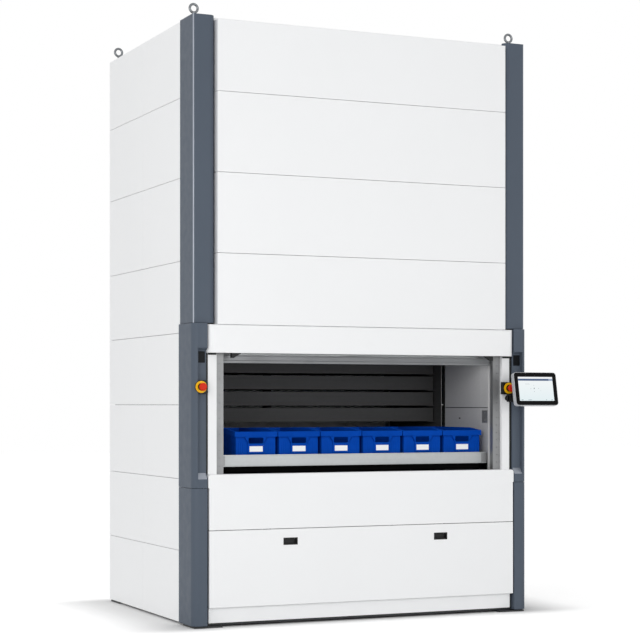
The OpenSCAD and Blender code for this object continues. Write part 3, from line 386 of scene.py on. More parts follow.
# Tray
# The delivered tray is folded from galvanised sheet: a shallow pan whose front edge is hemmed at the top
# and at the bottom, with a bracket spot-welded over each front corner.


def only(piece):
    """Makes one object the whole selection and the active one."""
    bpy.ops.object.select_all(action="DESELECT")
    piece.select_set(True)
    bpy.context.view_layer.objects.active = piece


def block(name, low, high):
    """A block between two corners, with its place in its mesh."""
    bpy.ops.object.select_all(action="DESELECT")
    bpy.ops.mesh.primitive_cube_add(size=1, location=(Vector(low) + Vector(high)) / 2)
    piece = bpy.context.object
    piece.name = name
    piece.scale = Vector(high) - Vector(low)
    bpy.ops.object.transform_apply(location=True, rotation=True, scale=True)
    return piece


def open_faces(piece):
    """Opens a piece in edit mode, by faces."""
    only(piece)
    bpy.ops.object.mode_set(mode="EDIT")
    bpy.ops.mesh.select_mode(type="FACE")


def close_faces():
    bpy.ops.object.mode_set(mode="OBJECT")


def pick(piece, test):
    """Selects the faces whose centre and normal pass a test."""
    bpy.ops.mesh.select_all(action="DESELECT")
    mesh = bmesh.from_edit_mesh(piece.data)
    for face in mesh.faces:
        if test(face.calc_center_median(), face.normal):
            face.select_set(True)
    bmesh.update_edit_mesh(piece.data)


# Least share of a normal or an edge that lies along its axis
facing = 0.9


def faces_up(c, n):
    return n.z > facing


def faces_front(c, n):
    return n.y < -facing


def faces_back(c, n):
    return n.y > facing


def cut(piece, test, point, normal):
    """Scores the picked faces along a plane."""
    pick(piece, test)
    bpy.ops.mesh.bisect(plane_co=point, plane_no=normal)


def push(piece, test, move):
    """Draws the picked faces out, or sinks them, by one move."""
    pick(piece, test)
    bpy.ops.mesh.extrude_region_move(TRANSFORM_OT_translate={"value": move})


def hollow(piece, test, wall, move):
    """Leaves a wall round the picked face and sinks the rest."""
    pick(piece, test)
    bpy.ops.mesh.inset(thickness=wall)
    bpy.ops.mesh.extrude_region_move(TRANSFORM_OT_translate={"value": move})


def round_edges(piece, width, segments=2, angle=30):
    """Rounds the sharp edges for good and evens the shading."""
    only(piece)
    bevel = piece.modifiers.new("rounded edges", "BEVEL")
    bevel.width = width
    bevel.segments = segments
    bevel.limit_method = "ANGLE"
    bevel.angle_limit = math.radians(angle)
    bpy.ops.object.modifier_apply(modifier=bevel.name)
    bpy.ops.object.shade_smooth()
    even = piece.modifiers.new("even shading", "WEIGHTED_NORMAL")
    bpy.ops.object.modifier_apply(modifier=even.name)


def mount(piece, body, material, replaced=()):
    """Gives a new piece its finish and ties it to the body that carries it."""
    piece.data.materials.clear()
    piece.data.materials.append(material)
    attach(piece, body)
    if replaced:
        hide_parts(*replaced)


tray_low, tray_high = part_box("tray")
bracket_proud = 0.001
tray_wall = 0.002
hem = 0.005
bracket_width = 0.034
bracket_depth = 0.9 * bracket_proud
bracket_edge = 1.1 * hem
flush = 0.0001
tray_low = tray_low + Vector((0, bracket_proud, 0))
tray = block("tray_pan", tray_low, tray_high)
open_faces(tray)


def tray_front(c, n):
    return faces_front(c, n) and c.y < tray_low.y + flush


hollow(tray, faces_up, tray_wall, (0, 0, tray_wall - (tray_high.z - tray_low.z)))
for z in (tray_low.z + hem, tray_high.z - hem):
    cut(tray, tray_front, (0, 0, z), (0, 0, 1))
push(tray, lambda c, n: tray_front(c, n) and not tray_low.z + hem < c.z < tray_high.z - hem,
     (0, -bracket_proud, 0))
close_faces()
round_edges(tray, 0.0004)
mount(tray, "shuttle", galvanised, ["tray"])
bracket_sheet = finish_with("bracket sheet", zinc, {"Color": srgb(146, 147, 148), "Spangle": 0.03},
                            {"Metallic": 0.6})
for hand, bracket_x in (("left", tray_low.x), ("right", tray_high.x - bracket_width)):
    tray_bracket = block("tray_bracket_" + hand,
                         (bracket_x, tray_low.y - bracket_depth, tray_low.z + bracket_edge),
                         (bracket_x + bracket_width, tray_low.y, tray_high.z - bracket_edge))
    round_edges(tray_bracket, 0.0003)
    mount(tray_bracket, "shuttle", bracket_sheet)


# Bins
# Six open-front parts bins, moulded from blue polypropylene: a proud rim band, a label holder that flares
# into the rim, a hand hole above the label and shallow upright ribs on the walls. Each carries a blank card.
moulded, moulded_in, moulded_out = new_group(
    "moulded plastic",
    [("Color", "Color", (0.5, 0.5, 0.5, 1)), ("Roughness", "Float", 0.4), ("Texture", "Float", 0.00003),
     ("Drift", "Float", 0.12)], skin_outputs)
flow = noise(moulded, 11.0, 3.0, Distortion=0.6)
offset = ranged(moulded, flow, (0.3, 0.7), (-0.5, 0.5))
tone = add_node(moulded, "Math", {0: offset, 1: moulded_in.outputs["Drift"], 2: 1.0},
                operation="MULTIPLY_ADD")
tint = toned(moulded, moulded_in.outputs["Color"], tone)
gloss = ranged(moulded, flow, (0.3, 0.7), (0.05, -0.05))
dull = add_node(moulded, "Math", {0: gloss, 1: moulded_in.outputs["Roughness"]}, operation="ADD")
bumps = add_node(moulded, "Bump", {"Height": noise(moulded, 1400.0, 2.0),
                                   "Distance": moulded_in.outputs["Texture"], "Strength": 1.0})
put_out(moulded, moulded_out, tint, dull, bumps)
bin_plastic = finish_with("blue bin plastic", moulded, {"Color": srgb(0, 68, 170), "Roughness": 0.5},
                          {"Specular IOR Level": 0.04})

bin_low, bin_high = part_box("bin_1")
bin_mid = (bin_low + bin_high) / 2
bin_count = 6
rim_out = 0.008
bin_wall = 0.004
bin_rise = 0.014
bin_ramp = 0.12
rim_height = 0.027
holder_half = 0.046
holder_out = 0.006
holder_height = 0.112
flare = 0.016
flare_drop = 0.027
groove = 0.006
groove_d = 0.003
side_ribs = 5
side_rib = 0.0015
front_rib = 0.001
front_ribs = (0.072, 0.083, 0.094)
front_top = bin_high.z - bin_rise
rim_z = front_top - rim_height
holder_foot = front_top - holder_height
ramp_y = bin_low.y + bin_ramp
body_low = bin_low + Vector((rim_out, rim_out, 0))
body_high = bin_high - Vector((rim_out, rim_out, 0))
skin = 0.0005


def rim_foot(y):
    """Lower edge of the rim band, which climbs along the ramp of the side walls."""
    climb = min(1.0, max(0.0, (y - body_low.y) / (ramp_y - body_low.y)))
    return rim_z + bin_rise * climb


def on_side(c, n):
    return abs(n.x) > facing and abs(c.x - bin_mid.x) > (body_high.x - body_low.x) / 2 - skin


def on_end(c, n):
    return abs(n.y) > facing and abs(c.y - bin_mid.y) > (body_high.y - body_low.y) / 2 - skin


def bin_front(c, n):
    return faces_front(c, n) and c.y < body_low.y + skin and c.z < rim_z


def in_holder(c, margin=0.0):
    """Inside the label holder's outline, which widens towards the rim, or within a margin of it."""
    widen = max(0.0, 1 - (rim_z - c.z) / flare_drop)
    return abs(c.x - bin_mid.x) < holder_half + margin + flare * widen and c.z > holder_foot


def in_groove(c):
    """In the shadow groove beside the label holder or under the rim."""
    return (in_holder(c, groove) or c.z > rim_z - groove) and not in_holder(c)


def move_corners(piece, test, move):
    """Moves the corners whose place passes a test."""
    bpy.ops.mesh.select_mode(type="VERT")
    bpy.ops.mesh.select_all(action="DESELECT")
    mesh = bmesh.from_edit_mesh(piece.data)
    for corner in mesh.verts:
        corner.select_set(test(corner.co))
    bmesh.update_edit_mesh(piece.data)
    bpy.ops.transform.translate(value=move)
    bpy.ops.mesh.select_mode(type="FACE")


# Sloped block, hollowed from the top down to a level floor
first_bin = block("bin_first", body_low, body_high)
open_faces(first_bin)
cut(first_bin, lambda c, n: True, (0, ramp_y, 0), (0, 1, 0))
move_corners(first_bin, lambda p: p.z > front_top and p.y < body_low.y + skin, (0, 0, -bin_rise))
hollow(first_bin, faces_up, bin_wall, (0, 0, 0))
bpy.ops.transform.resize(value=(1, 1, 0), center_override=(bin_mid.x, bin_mid.y, bin_low.z + bin_wall))

# Rim band along the slope and round the back
cut(first_bin, lambda c, n: on_side(c, n) and c.y < ramp_y, (0, ramp_y, rim_z + bin_rise),
    (0, -bin_rise, ramp_y - body_low.y))
cut(first_bin, lambda c, n: on_side(c, n) and c.y > ramp_y or on_end(c, n) and c.y > bin_mid.y,
    (0, 0, rim_z + bin_rise), (0, 0, 1))
cut(first_bin, lambda c, n: on_end(c, n) and c.y < bin_mid.y, (0, 0, rim_z), (0, 0, 1))

# Ribs on the walls, label holder with its flare
for side in (-1, 1):
    for rib in range(side_ribs):
        rib_y = body_low.y + (rib + 0.5) * (body_high.y - body_low.y) / side_ribs
        for edge_y in (rib_y - side_rib, rib_y + side_rib):
            cut(first_bin, lambda c, n: on_side(c, n) and n.x * side > 0 and c.z < rim_foot(c.y) - skin,
                (0, edge_y, 0), (0, 1, 0))
        push(first_bin, lambda c, n: on_side(c, n) and n.x * side > 0 and abs(c.y - rib_y) < side_rib
             and c.z < rim_foot(c.y) - skin, (side * side_rib, 0, 0))
    for margin in (0, groove):
        cut(first_bin, bin_front, (bin_mid.x + side * (holder_half + margin), 0, 0), (1, 0, 0))
    for rib_x in front_ribs:
        for edge_x in (rib_x - front_rib, rib_x + front_rib):
            cut(first_bin, bin_front, (bin_mid.x + side * edge_x, 0, 0), (1, 0, 0))
    for margin in (0, groove):
        cut(first_bin, lambda c, n: bin_front(c, n) and (c.x - bin_mid.x) * side > holder_half,
            (bin_mid.x + side * (holder_half + margin + flare), 0, rim_z), (flare_drop, 0, -side * flare))
cut(first_bin, lambda c, n: bin_front(c, n) and in_holder(c, groove), (0, 0, holder_foot), (0, 0, 1))
cut(first_bin, lambda c, n: bin_front(c, n) and not in_holder(c), (0, 0, rim_z - groove), (0, 0, 1))
cut(first_bin, lambda c, n: bin_front(c, n) and abs(c.x - bin_mid.x) > holder_half,
    (0, 0, rim_z - flare_drop), (0, 0, 1))


def on_front_rib(c):
    """On one of the upright ribs beside the label holder, below its flare."""
    beside = [abs(abs(c.x - bin_mid.x) - x) < skin for x in front_ribs]
    return any(beside) and c.z < rim_z - flare_drop


push(first_bin, lambda c, n: bin_front(c, n) and on_front_rib(c), (0, -front_rib, 0))
push(first_bin, lambda c, n: bin_front(c, n) and in_holder(c), (0, -holder_out, 0))
push(first_bin, lambda c, n: bin_front(c, n) and c.y > body_low.y - skin and in_groove(c), (0, groove_d, 0))
pick(first_bin, lambda c, n: (on_side(c, n) or on_end(c, n)) and c.z > rim_foot(c.y))
bpy.ops.mesh.extrude_region_shrink_fatten(
    TRANSFORM_OT_shrink_fatten={"value": rim_out, "use_even_offset": True})
close_faces()

# Hand hole through the front wall, with rounded corners
hand_half = 0.0415
hand_drop = 0.031
hand_height = 0.03
hand_corner = 0.006
hand_reach = (-0.01, 0.02)
hand_top = front_top - hand_drop
hole = block("hand_hole_tool", (bin_mid.x - hand_half, bin_low.y + hand_reach[0], hand_top - hand_height),
             (bin_mid.x + hand_half, bin_low.y + hand_reach[1], hand_top))


def bevel_lines(piece, test, radius, segments):
    """Rounds the edges whose two ends pass a test."""
    open_faces(piece)
    bpy.ops.mesh.select_mode(type="EDGE")
    bpy.ops.mesh.select_all(action="DESELECT")
    mesh = bmesh.from_edit_mesh(piece.data)
    for line in mesh.edges:
        line.select_set(test(*(corner.co for corner in line.verts)))
    bmesh.update_edit_mesh(piece.data)
    bpy.ops.mesh.bevel(offset=radius, segments=segments)
    close_faces()


def runs_deep(a, b):
    """Whether an edge runs from the front to the back."""
    return abs((a - b).y) > facing * (a - b).length


bevel_lines(hole, runs_deep, hand_corner, 4)


def carve(piece, tool):
    """Cuts a tool's shape out of a piece and clears the tool away."""
    only(piece)
    boolean = piece.modifiers.new("cut", "BOOLEAN")
    boolean.object = tool
    boolean.operation = "DIFFERENCE"
    boolean.solver = "EXACT"
    bpy.ops.object.modifier_apply(modifier=boolean.name)
    bpy.data.objects.remove(tool)


carve(first_bin, hole)
round_edges(first_bin, 0.0007)


def copy_of(piece, name, move):
    """A copy with its own mesh, moved within that mesh."""
    only(piece)
    bpy.ops.object.duplicate()
    made = bpy.context.object
    made.name = name
    made.data.transform(Matrix.Translation(move))
    return made


for number in range(1, bin_count + 1):
    node_name = "bin_" + str(number)
    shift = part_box(node_name)[0] - bin_low
    bin_piece = copy_of(first_bin, "parts_bin_" + str(number), shift)
    mount(bin_piece, "shuttle", bin_plastic, [node_name])
bpy.data.objects.remove(first_bin)

# Blank card labels
card, card_in, card_out = new_group("card", [("Color", "Color", (0.8, 0.8, 0.8, 1))], skin_outputs)
fibre = noise(card, 700.0, 5.0)
paper = toned(card, card_in.outputs["Color"], ranged(card, fibre, (0.0, 1.0), (0.95, 1.03)))
dull = ranged(card, fibre, (0.0, 1.0), (0.6, 0.8))
bumps = add_node(card, "Bump", {"Height": fibre, "Distance": 0.00002})
put_out(card, card_out, paper, dull, bumps)
label_card = finish_with("label card", card, {"Color": srgb(252, 252, 252)})
dress(["bin_labels"], label_card)


# Door
# A folded galvanised leaf that slides up behind the hood in two aluminium guides. A drawn aluminium bar
# with a grooved face is screwed along its lower edge.
# The bar's aluminium is darker than the upright aluminium: painted shade under the hood
shaded_level_aluminium = finish_with("anodised aluminium, drawn level", lines,
                              {"Color": srgb(124, 126, 128), "Roughness": 0.42, "Grain": level_grain},
                              {"Metallic": 0.6})
dress(["door_leaf"], galvanised, 0.0006)
bar_low, bar_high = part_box("door_bar")
groove_low = bar_low.z + 0.013
groove_high = bar_high.z - 0.006
groove_depth = 0.005
door_bar = block("door_bar_profile", bar_low, bar_high)
open_faces(door_bar)
for z in (groove_low, groove_high):
    cut(door_bar, faces_front, (0, 0, z), (0, 0, 1))
push(door_bar, lambda c, n: faces_front(c, n) and groove_low < c.z < groove_high, (0, groove_depth, 0))
close_faces()
round_edges(door_bar, 0.0015, 3)
mount(door_bar, "door", shaded_level_aluminium, ["door_bar"])


# Bay walls
# Pale plates screwed to the liners beside the opening, with a seal along their joint. Each side has a darker
# bracket held by two screws, and the cap of a latch slot.
both_sides = ((-1, "left"), (1, "right"))
along_x = (0, math.radians(90), 0)
along_y = (math.radians(90), 0, 0)
wall_x = 0.79
plate_t = 0.0008
plate_rows = {"low": (0.8, 1.1025), "high": (1.1065, 1.376)}
plate_columns = {"front": (-0.6, -0.5165), "back": (-0.5125, -0.1)}
painted_shade_strip_y = (-0.048, 0.026)
painted_shade_strip_z = (plate_rows["low"][0], plate_rows["high"][1])
seal_t = 0.7 * plate_t
seal_y = (-0.6, -0.1)
seal_z = (1.1028, 1.1062)
bracket_y = (-0.588, -0.526)
bracket_z = (1.022, 1.09)
bracket_t = 0.0022
slot_t = 0.0016
slot_y = (-0.279, -0.261)
slot_z = (1.041, 1.049)
screw_r = 0.004
screw_length = 0.003
screw_inset = 0.014
screw_sunk = 0.0005
screw_rim = 0.0018
screw_socket = 0.001


def side_block(name, side, x, y, z):
    """A block at the left or the right, its span of x counted out from the middle."""
    low_x, high_x = sorted(side * v for v in x)
    return block(name, (low_x, y[0], z[0]), (high_x, y[1], z[1]))


def wall_piece(name, side, out, y, z, edge, segments, material):
    """A plate that stands a little out from one liner."""
    piece = side_block(name, side, (wall_x - out, wall_x), y, z)
    round_edges(piece, edge, segments)
    mount(piece, "chassis", material)


def rod(name, middle, radius, length, turn=(0, 0, 0), sides=24, ends="NGON"):
    """A rod about its middle, upright before its turn, with its place in its mesh."""
    bpy.ops.object.select_all(action="DESELECT")
    bpy.ops.mesh.primitive_cylinder_add(vertices=sides, radius=radius, depth=length, end_fill_type=ends,
                                        location=middle, rotation=turn)
    piece = bpy.context.object
    piece.name = name
    bpy.ops.object.transform_apply(location=True, rotation=True, scale=True)
    return piece


def dish(piece, test, wall, move, edge, segments=2, angle=30):
    """Sinks the picked face inside a wall and rounds the edges."""
    open_faces(piece)
    hollow(piece, test, wall, move)
    close_faces()
    round_edges(piece, edge, segments, angle)


for side, hand in both_sides:
    for row, plate_z in plate_rows.items():
        for column, plate_y in plate_columns.items():
            wall_piece("_".join(("bay_plate", hand, row, column)), side, plate_t, plate_y, plate_z,
                       0.0003, 1, bay_sheet)
    # A dark strip on each liner behind the slot, where the bay lies in shade: painted shade
    wall_piece("bay_shade_strip_" + hand, side, plate_t, painted_shade_strip_y, painted_shade_strip_z,
               0.0003, 1, shade_dark_sheet)
    wall_piece("bay_seal_" + hand, side, seal_t, seal_y, seal_z, 0.0002, 1, black_seal_and_shade_paint)
    wall_piece("bay_bracket_" + hand, side, bracket_t, bracket_y, bracket_z,
               0.0006, 2, bracket_sheet)
    wall_piece("bay_slot_" + hand, side, slot_t, slot_y, slot_z, 0.0005, 2, shade_dark_sheet)
    for number, screw_z in enumerate((bracket_z[0] + screw_inset, bracket_z[1] - screw_inset), 1):
        screw = rod("bay_screw_%s_%d" % (hand, number),
                    (side * (wall_x - bracket_t - screw_sunk), sum(bracket_y) / 2, screw_z),
                    screw_r, screw_length, along_x)
        dish(screw, lambda c, n: n.x * side < -facing, screw_rim, (side * screw_socket, 0, 0), 0.0004)
        mount(screw, "chassis", turned_steel)

# Sheet behind the racks, with a stiffening bead along it
back_low = Vector((-0.76, 0.6345, 0.86))
back_high = Vector((0.76, 0.6365, 1.06))
back_bead = 0.02
back_sheet = block("bay_back_sheet", back_low, back_high)
dish(back_sheet, faces_front, back_bead, (0, plate_t, 0), 0.0005)
mount(back_sheet, "chassis", bay_sheet)


# Cladding
# Folded steel panels, hood, sill, flap, trims and roof, all powder coated white and clipped to the frame.
# The flap turns on steel hinges.
white_paint = finish_with("white powder coat", coat,
                          {"Color": srgb(244, 245, 246), "Roughness": 0.42, "Drift": 0.012, "Rub": 0.03})
dress(["roof_panel", "left_side_panels", "right_side_panels", "rear_panels", "front_panels", "hood",
       "sill_panel", "toe_kick", "trims", "flap_panel"], white_paint, 0.0015)
dress(["flap_hinges"], turned_steel, 0.0005)

# Strips over the joints of the roof sheets, with domed screws
roof_low, roof_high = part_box("roof_panel")
roof_joint = 0.31
strip_half = 0.02
strip_t = 0.0012
strip_end = 0.01
roof_screws = 5
roof_screw_r = 0.006
roof_screw_end = 0.05
roof_screw_lift = 0.001
roof_screw_rim = 0.003
roof_screw_socket = 0.0015
roof_screw_pitch = (roof_high.y - roof_low.y - 2 * roof_screw_end) / (roof_screws - 1)
for side, hand in both_sides:
    joint_x = side * roof_joint
    joint = block("roof_strip_" + hand, (joint_x - strip_half, roof_low.y + strip_end, roof_high.z),
                  (joint_x + strip_half, roof_high.y - strip_end, roof_high.z + strip_t))
    round_edges(joint, 0.0004)
    mount(joint, "chassis", white_paint)
    for number in range(roof_screws):
        screw_y = roof_low.y + roof_screw_end + number * roof_screw_pitch
        screw = rod("roof_screw_%s_%d" % (hand, number + 1),
                    (joint_x, screw_y, roof_high.z + strip_t + roof_screw_lift), roof_screw_r, screw_length)
        dish(screw, faces_up, roof_screw_rim, (0, 0, -roof_screw_socket), 0.0008, 2, 50)
        mount(screw, "chassis", turned_steel)

# Black catches that hang inside the hood at both ends, and black strips between the hood and the trims that
# paint the shade along the hood's lower edge
black_plastic = finish_with("black plastic", moulded, {"Color": srgb(17, 18, 19), "Roughness": 0.45,
                                                      "Texture": 0.00005}, {"Specular IOR Level": 0.3})
catch_x = (0.703, 0.7545)
catch_y = (-0.7094, -0.69)
catch_z = (1.357, 1.4)
catch_taper = 0.04
catch_bend = 0.022
hood_gap_shade_x = (0.826, 0.871)
hood_gap_shade_y = (-0.684, -0.6805)
hood_gap_shade_z = (1.372, 1.382)
for side, hand in both_sides:
    catch = side_block("hood_catch_" + hand, side, catch_x, catch_y, catch_z)
    open_faces(catch)
    cut(catch, lambda c, n: True, (0, 0, catch_z[0] + catch_bend), (0, 0, 1))
    move_corners(catch, lambda p: p.z < catch_z[0] + flush and abs(p.x) < catch_x[0] + flush,
                 (side * catch_taper, 0, 0))
    close_faces()
    round_edges(catch, 0.001)
    mount(catch, "chassis", black_plastic)
    # Black strip under the hood's edge: painted shade
    hood_gap_shade = side_block("hood_gap_shade_" + hand, side, hood_gap_shade_x, hood_gap_shade_y, hood_gap_shade_z)
    round_edges(hood_gap_shade, 0.0012)
    mount(hood_gap_shade, "chassis", black_plastic)


# Control box
# A steel cabinet behind the flap, sprayed like the frame. Its grey door has a rolled edge and is held by two
# turn latches.
dress(["control_box"], frame_paint, 0.0012)
cabinet_low, cabinet_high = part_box("control_box")
cabinet_edge = 0.006
cabinet_door_t = 0.002
rolled_edge = 0.012
rolled_height = 0.0008
latch_r = 0.01
latch_length = 0.005
latch_sunk = 0.001
latch_inset = 0.034
latch_end = 0.05
latch_rim = 0.004
latch_socket = 0.002
cabinet_front = cabinet_low.y - cabinet_door_t
cabinet_door = block("control_door",
                     (cabinet_low.x + cabinet_edge, cabinet_front, cabinet_low.z + cabinet_edge),
                     (cabinet_high.x - cabinet_edge, cabinet_low.y, cabinet_high.z - cabinet_edge))
dish(cabinet_door, faces_front, rolled_edge, (0, rolled_height, 0), 0.0006)
mount(cabinet_door, "chassis", cast_grey)
for number, latch_z in enumerate((cabinet_low.z + latch_end, cabinet_high.z - latch_end), 1):
    latch = rod("control_latch_%d" % number,
                (cabinet_high.x - latch_inset, cabinet_front - latch_length / 2 + latch_sunk, latch_z),
                latch_r, latch_length, along_y, 32)
    dish(latch, faces_front, latch_rim, (0, latch_socket, 0), 0.0006)
    mount(latch, "chassis", turned_steel)


# Corner covers
# Bent anthracite sheet over the front posts: a narrow upper pair, and wider middle and lower pairs. The
# middle covers have a sunk pocket for the stop and the smoked window of a sensor.
anthracite = finish_with("anthracite powder coat", coat,
                         {"Color": srgb(84, 93, 105), "Roughness": 0.45, "Drift": 0.03, "Rub": 0.2},
                         {"Specular IOR Level": 0.15})
dress(["upper_covers", "middle_covers", "lower_covers"], anthracite, 0.001)
smoked = finish_with("smoked window", moulded,
                     {"Color": srgb(17, 20, 23), "Roughness": 0.25, "Texture": 0.000004},
                     {"Specular IOR Level": 0.06})
dress(["sensor_windows"], smoked, 0.002)

# Pale strips over the outer bends of the upper covers: a painted highlight along the bends
highlight_strip_r = 0.0083
highlight_strip_t = 0.0006
highlight_strip_turn = math.sin(math.radians(17))
bend_r = 0.008
# Aluminium paler than the anthracite, which paints a highlight on the bends and a lit face on the pocket
# slopes
highlight_aluminium = finish_with("bead aluminium", lines,
                             {"Color": srgb(152, 158, 168), "Roughness": 0.35, "Grain": upright_grain},
                             {"Metallic": 0.4})
cover_low, cover_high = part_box("upper_covers")
for side, hand in both_sides:
    bend = Vector((side * (cover_high.x - bend_r), cover_low.y + bend_r, (cover_low.z + cover_high.z) / 2))
    bead = rod("corner_highlight_strip_" + hand, bend, highlight_strip_r, cover_high.z - cover_low.z, sides=64, ends="NOTHING")
    open_faces(bead)
    pick(bead, lambda c, n: n.x * side < highlight_strip_turn or n.y > -highlight_strip_turn)
    bpy.ops.mesh.delete(type="FACE")
    close_faces()
    wall = bead.modifiers.new("wall", "SOLIDIFY")
    wall.thickness = highlight_strip_t
    wall.offset = -1
    bpy.ops.object.modifier_apply(modifier=wall.name)
    round_edges(bead, 0.0001, 1, 60)
    mount(bead, "chassis", highlight_aluminium)

# Pale plates on the lower slopes of the pockets, painted light for the light from above on the slopes, and
# black strips between the middle covers and the trims, painted shade in the gaps
pocket_x = (0.886, 0.9335)
pocket_y = (-0.7115, -0.6885)
pocket_foot = 0.7474
pocket_rise = 0.0304
trim_gap_shade_x = (0.8713, 0.8837)
trim_gap_shade_y = (-0.679, -0.672)
trim_gap_shade_z = (0.78, 1.378)
for side, hand in both_sides:
    # Pale plate on the upward slope: painted light
    lit_slope_plate = side_block("pocket_lit_plate_" + hand, side, pocket_x, pocket_y,
                       (pocket_foot, pocket_foot + plate_t))
    open_faces(lit_slope_plate)
    move_corners(lit_slope_plate, lambda p: p.y > sum(pocket_y) / 2, (0, 0, pocket_rise))
    close_faces()
    round_edges(lit_slope_plate, 0.0003, 1)
    mount(lit_slope_plate, "chassis", highlight_aluminium)
    # A black strip in the gap beside each trim: painted shade
    trim_gap_shade = side_block("trim_gap_shade_" + hand, side, trim_gap_shade_x, trim_gap_shade_y, trim_gap_shade_z)
    round_edges(trim_gap_shade, 0.0015, 3)
    mount(trim_gap_shade, "chassis", black_plastic)


# Light curtains
# Drawn aluminium profiles screwed to the trims beside the opening, with a sunk channel and a row of small
# beam holes.
dress(["light_curtains"], upright_aluminium, 0.0008)


# Finger pulls
# Two cups moulded from black plastic, with a lip for the fingers.
# They are pressed into cut-outs in the flap and clip behind its sheet.
dress(["finger_pulls"], black_plastic, 0.0012)


# Emergency stops
# A red mushroom head over a yellow collar, both moulded: on a slim base in the left cover's pocket, and on
# a square box at the right.
stop_yellow = finish_with("yellow plastic", moulded, {"Color": srgb(246, 190, 0), "Roughness": 0.4},
                          {"Specular IOR Level": 0.3})
stop_red = finish_with("red plastic", moulded, {"Color": srgb(206, 40, 14), "Roughness": 0.4},
                       {"Specular IOR Level": 0.15})
dress(["stop_bases"], black_plastic, 0.002)
dress(["stop_collars"], stop_yellow, 0.0008)
dress(["stop_head_left", "stop_head_right"], stop_red, 0.001)

# Dark gaskets round the stems, whose black is also painted shade under the heads, and an eight-sided plate
# behind the left collar
left_stop_x = -0.92
right_stop_x = 0.85
stop_z = 1.21
gasket_r = 0.0185
gasket_bore = 0.0113
bore_length = 0.04
stop_plate_r = 0.0345
gasket_turn = (math.radians(90), math.radians(22.5), 0)
for name, stop_x, radius, sides, gasket_y in (
        ("stop_gasket_left", left_stop_x, gasket_r, 40, (-0.7201, -0.7195)),
        ("stop_gasket_right", right_stop_x, gasket_r, 40, (-0.7161, -0.7155)),
        ("stop_plate_left", left_stop_x, stop_plate_r, 8, (-0.7145, -0.7127))):
    middle = (stop_x, sum(gasket_y) / 2, stop_z)
    gasket = rod(name, middle, radius, gasket_y[1] - gasket_y[0], gasket_turn, sides)
    carve(gasket, rod("stem_bore", middle, gasket_bore, bore_length, along_y, 40))
    round_edges(gasket, 0.0002, 1)
    mount(gasket, "chassis", black_plastic)


# Touch panel
# A silver plastic housing with a black glass front, on a swivelling arm that a fork on the right trim holds.
# The housing's lugs turn on a tilt pin.
silver_plastic = finish_with("silver plastic", moulded, {"Color": srgb(196, 198, 201), "Roughness": 0.38})
dress(["console_mount", "console_arm"], black_plastic, 0.001)
tilt_joint = [j for j in frame["record"]["behaviour"]["joints"] if j["name"] == "console_tilt"][0]
tilt_pin = Vector(tilt_joint["pos_m"])
panel_lean = math.radians(11)
panel_half = Vector((0.131, 0.014, 0.09))
panel_front = -0.046
panel_corner = 0.017
silver_rim = 0.002
glass_t = 0.003
screen_half = Vector((0.1065, 0, 0.0655))


def round_corners(piece, radius):
    """Rounds the four corners of a plate that stands across the view, and leaves it open."""
    bevel_lines(piece, runs_deep, radius, 6)
    open_faces(piece)


def lean_back(piece):
    """Turns a piece made upright at the origin to the panel's lean and sets it on the tilt pin."""
    piece.location = tilt_pin
    piece.rotation_euler = (-panel_lean, 0, 0)
    only(piece)
    bpy.ops.object.transform_apply(location=True, rotation=True, scale=True)


# Housing: rounded corners, a sunk seat for the glass and vent slots in the back
housing_back = panel_front + 2 * panel_half.y
housing = block("panel_shell", (-panel_half.x, panel_front, -panel_half.z),
                (panel_half.x, housing_back, panel_half.z))
round_corners(housing, panel_corner)
hollow(housing, faces_front, silver_rim, (0, glass_t, 0))
vent_first = 0.03
vent_pitch = 0.01
vents = [vent_first + vent_pitch * k for k in range(5)]
vent_half = (0.05, 0.002)
vent_d = 0.004
for z in vents:
    for edge_z in (z - vent_half[1], z + vent_half[1]):
        cut(housing, faces_back, (0, 0, edge_z), (0, 0, 1))
for x in (-vent_half[0], vent_half[0]):
    cut(housing, faces_back, (x, 0, 0), (1, 0, 0))
push(housing, lambda c, n: faces_back(c, n) and abs(c.x) < vent_half[0]
     and any(abs(c.z - z) < vent_half[1] for z in vents), (0, -vent_d, 0))
close_faces()
round_edges(housing, 0.0012)
lean_back(housing)
mount(housing, "panel", silver_plastic, ["panel_housing"])

# Lugs that hold the tilt pin
lug_x = 0.019
lug_half = 0.005
lug_r = 0.009
lug_round = 0.0085
lug_sunk = 0.0005
pin_r = 0.00505
for side, hand in both_sides:
    lug = block("panel_lug_" + hand, (side * lug_x - lug_half, housing_back - lug_sunk, -lug_r),
                (side * lug_x + lug_half, lug_r, lug_r))
    bevel_lines(lug, lambda a, b: a.y > 0 and b.y > 0 and abs((a - b).x) > lug_half, lug_round, 8)
    carve(lug, rod("pin_bore", (side * lug_x, 0, 0), pin_r, bore_length, along_x, 48))
    round_edges(lug, 0.0004)
    lean_back(lug)
    mount(lug, "panel", silver_plastic)

# Black glass with a window for the screen
glass_gap = 0.0003
window_d = 0.0005
glass_sunk = 0.0002
glass_front = panel_front + glass_sunk
black_glass = finish_with("black glass", moulded,
                          {"Color": srgb(4, 4, 5), "Roughness": 0.12, "Texture": 0.0},
                          {"Specular IOR Level": 0.1})
glass_half = panel_half - Vector((silver_rim + glass_gap, 0, silver_rim + glass_gap))
glass = block("panel_glass", (-glass_half.x, glass_front, -glass_half.z),
              (glass_half.x, panel_front + glass_t, glass_half.z))
round_corners(glass, panel_corner - silver_rim)
for x in (-screen_half.x, screen_half.x):
    cut(glass, faces_front, (x, 0, 0), (1, 0, 0))
for z in (-screen_half.z, screen_half.z):
    cut(glass, faces_front, (0, 0, z), (0, 0, 1))
push(glass, lambda c, n: faces_front(c, n) and abs(c.x) < screen_half.x and abs(c.z) < screen_half.z,
     (0, window_d, 0))
close_faces()
round_edges(glass, 0.0002, 1)
lean_back(glass)
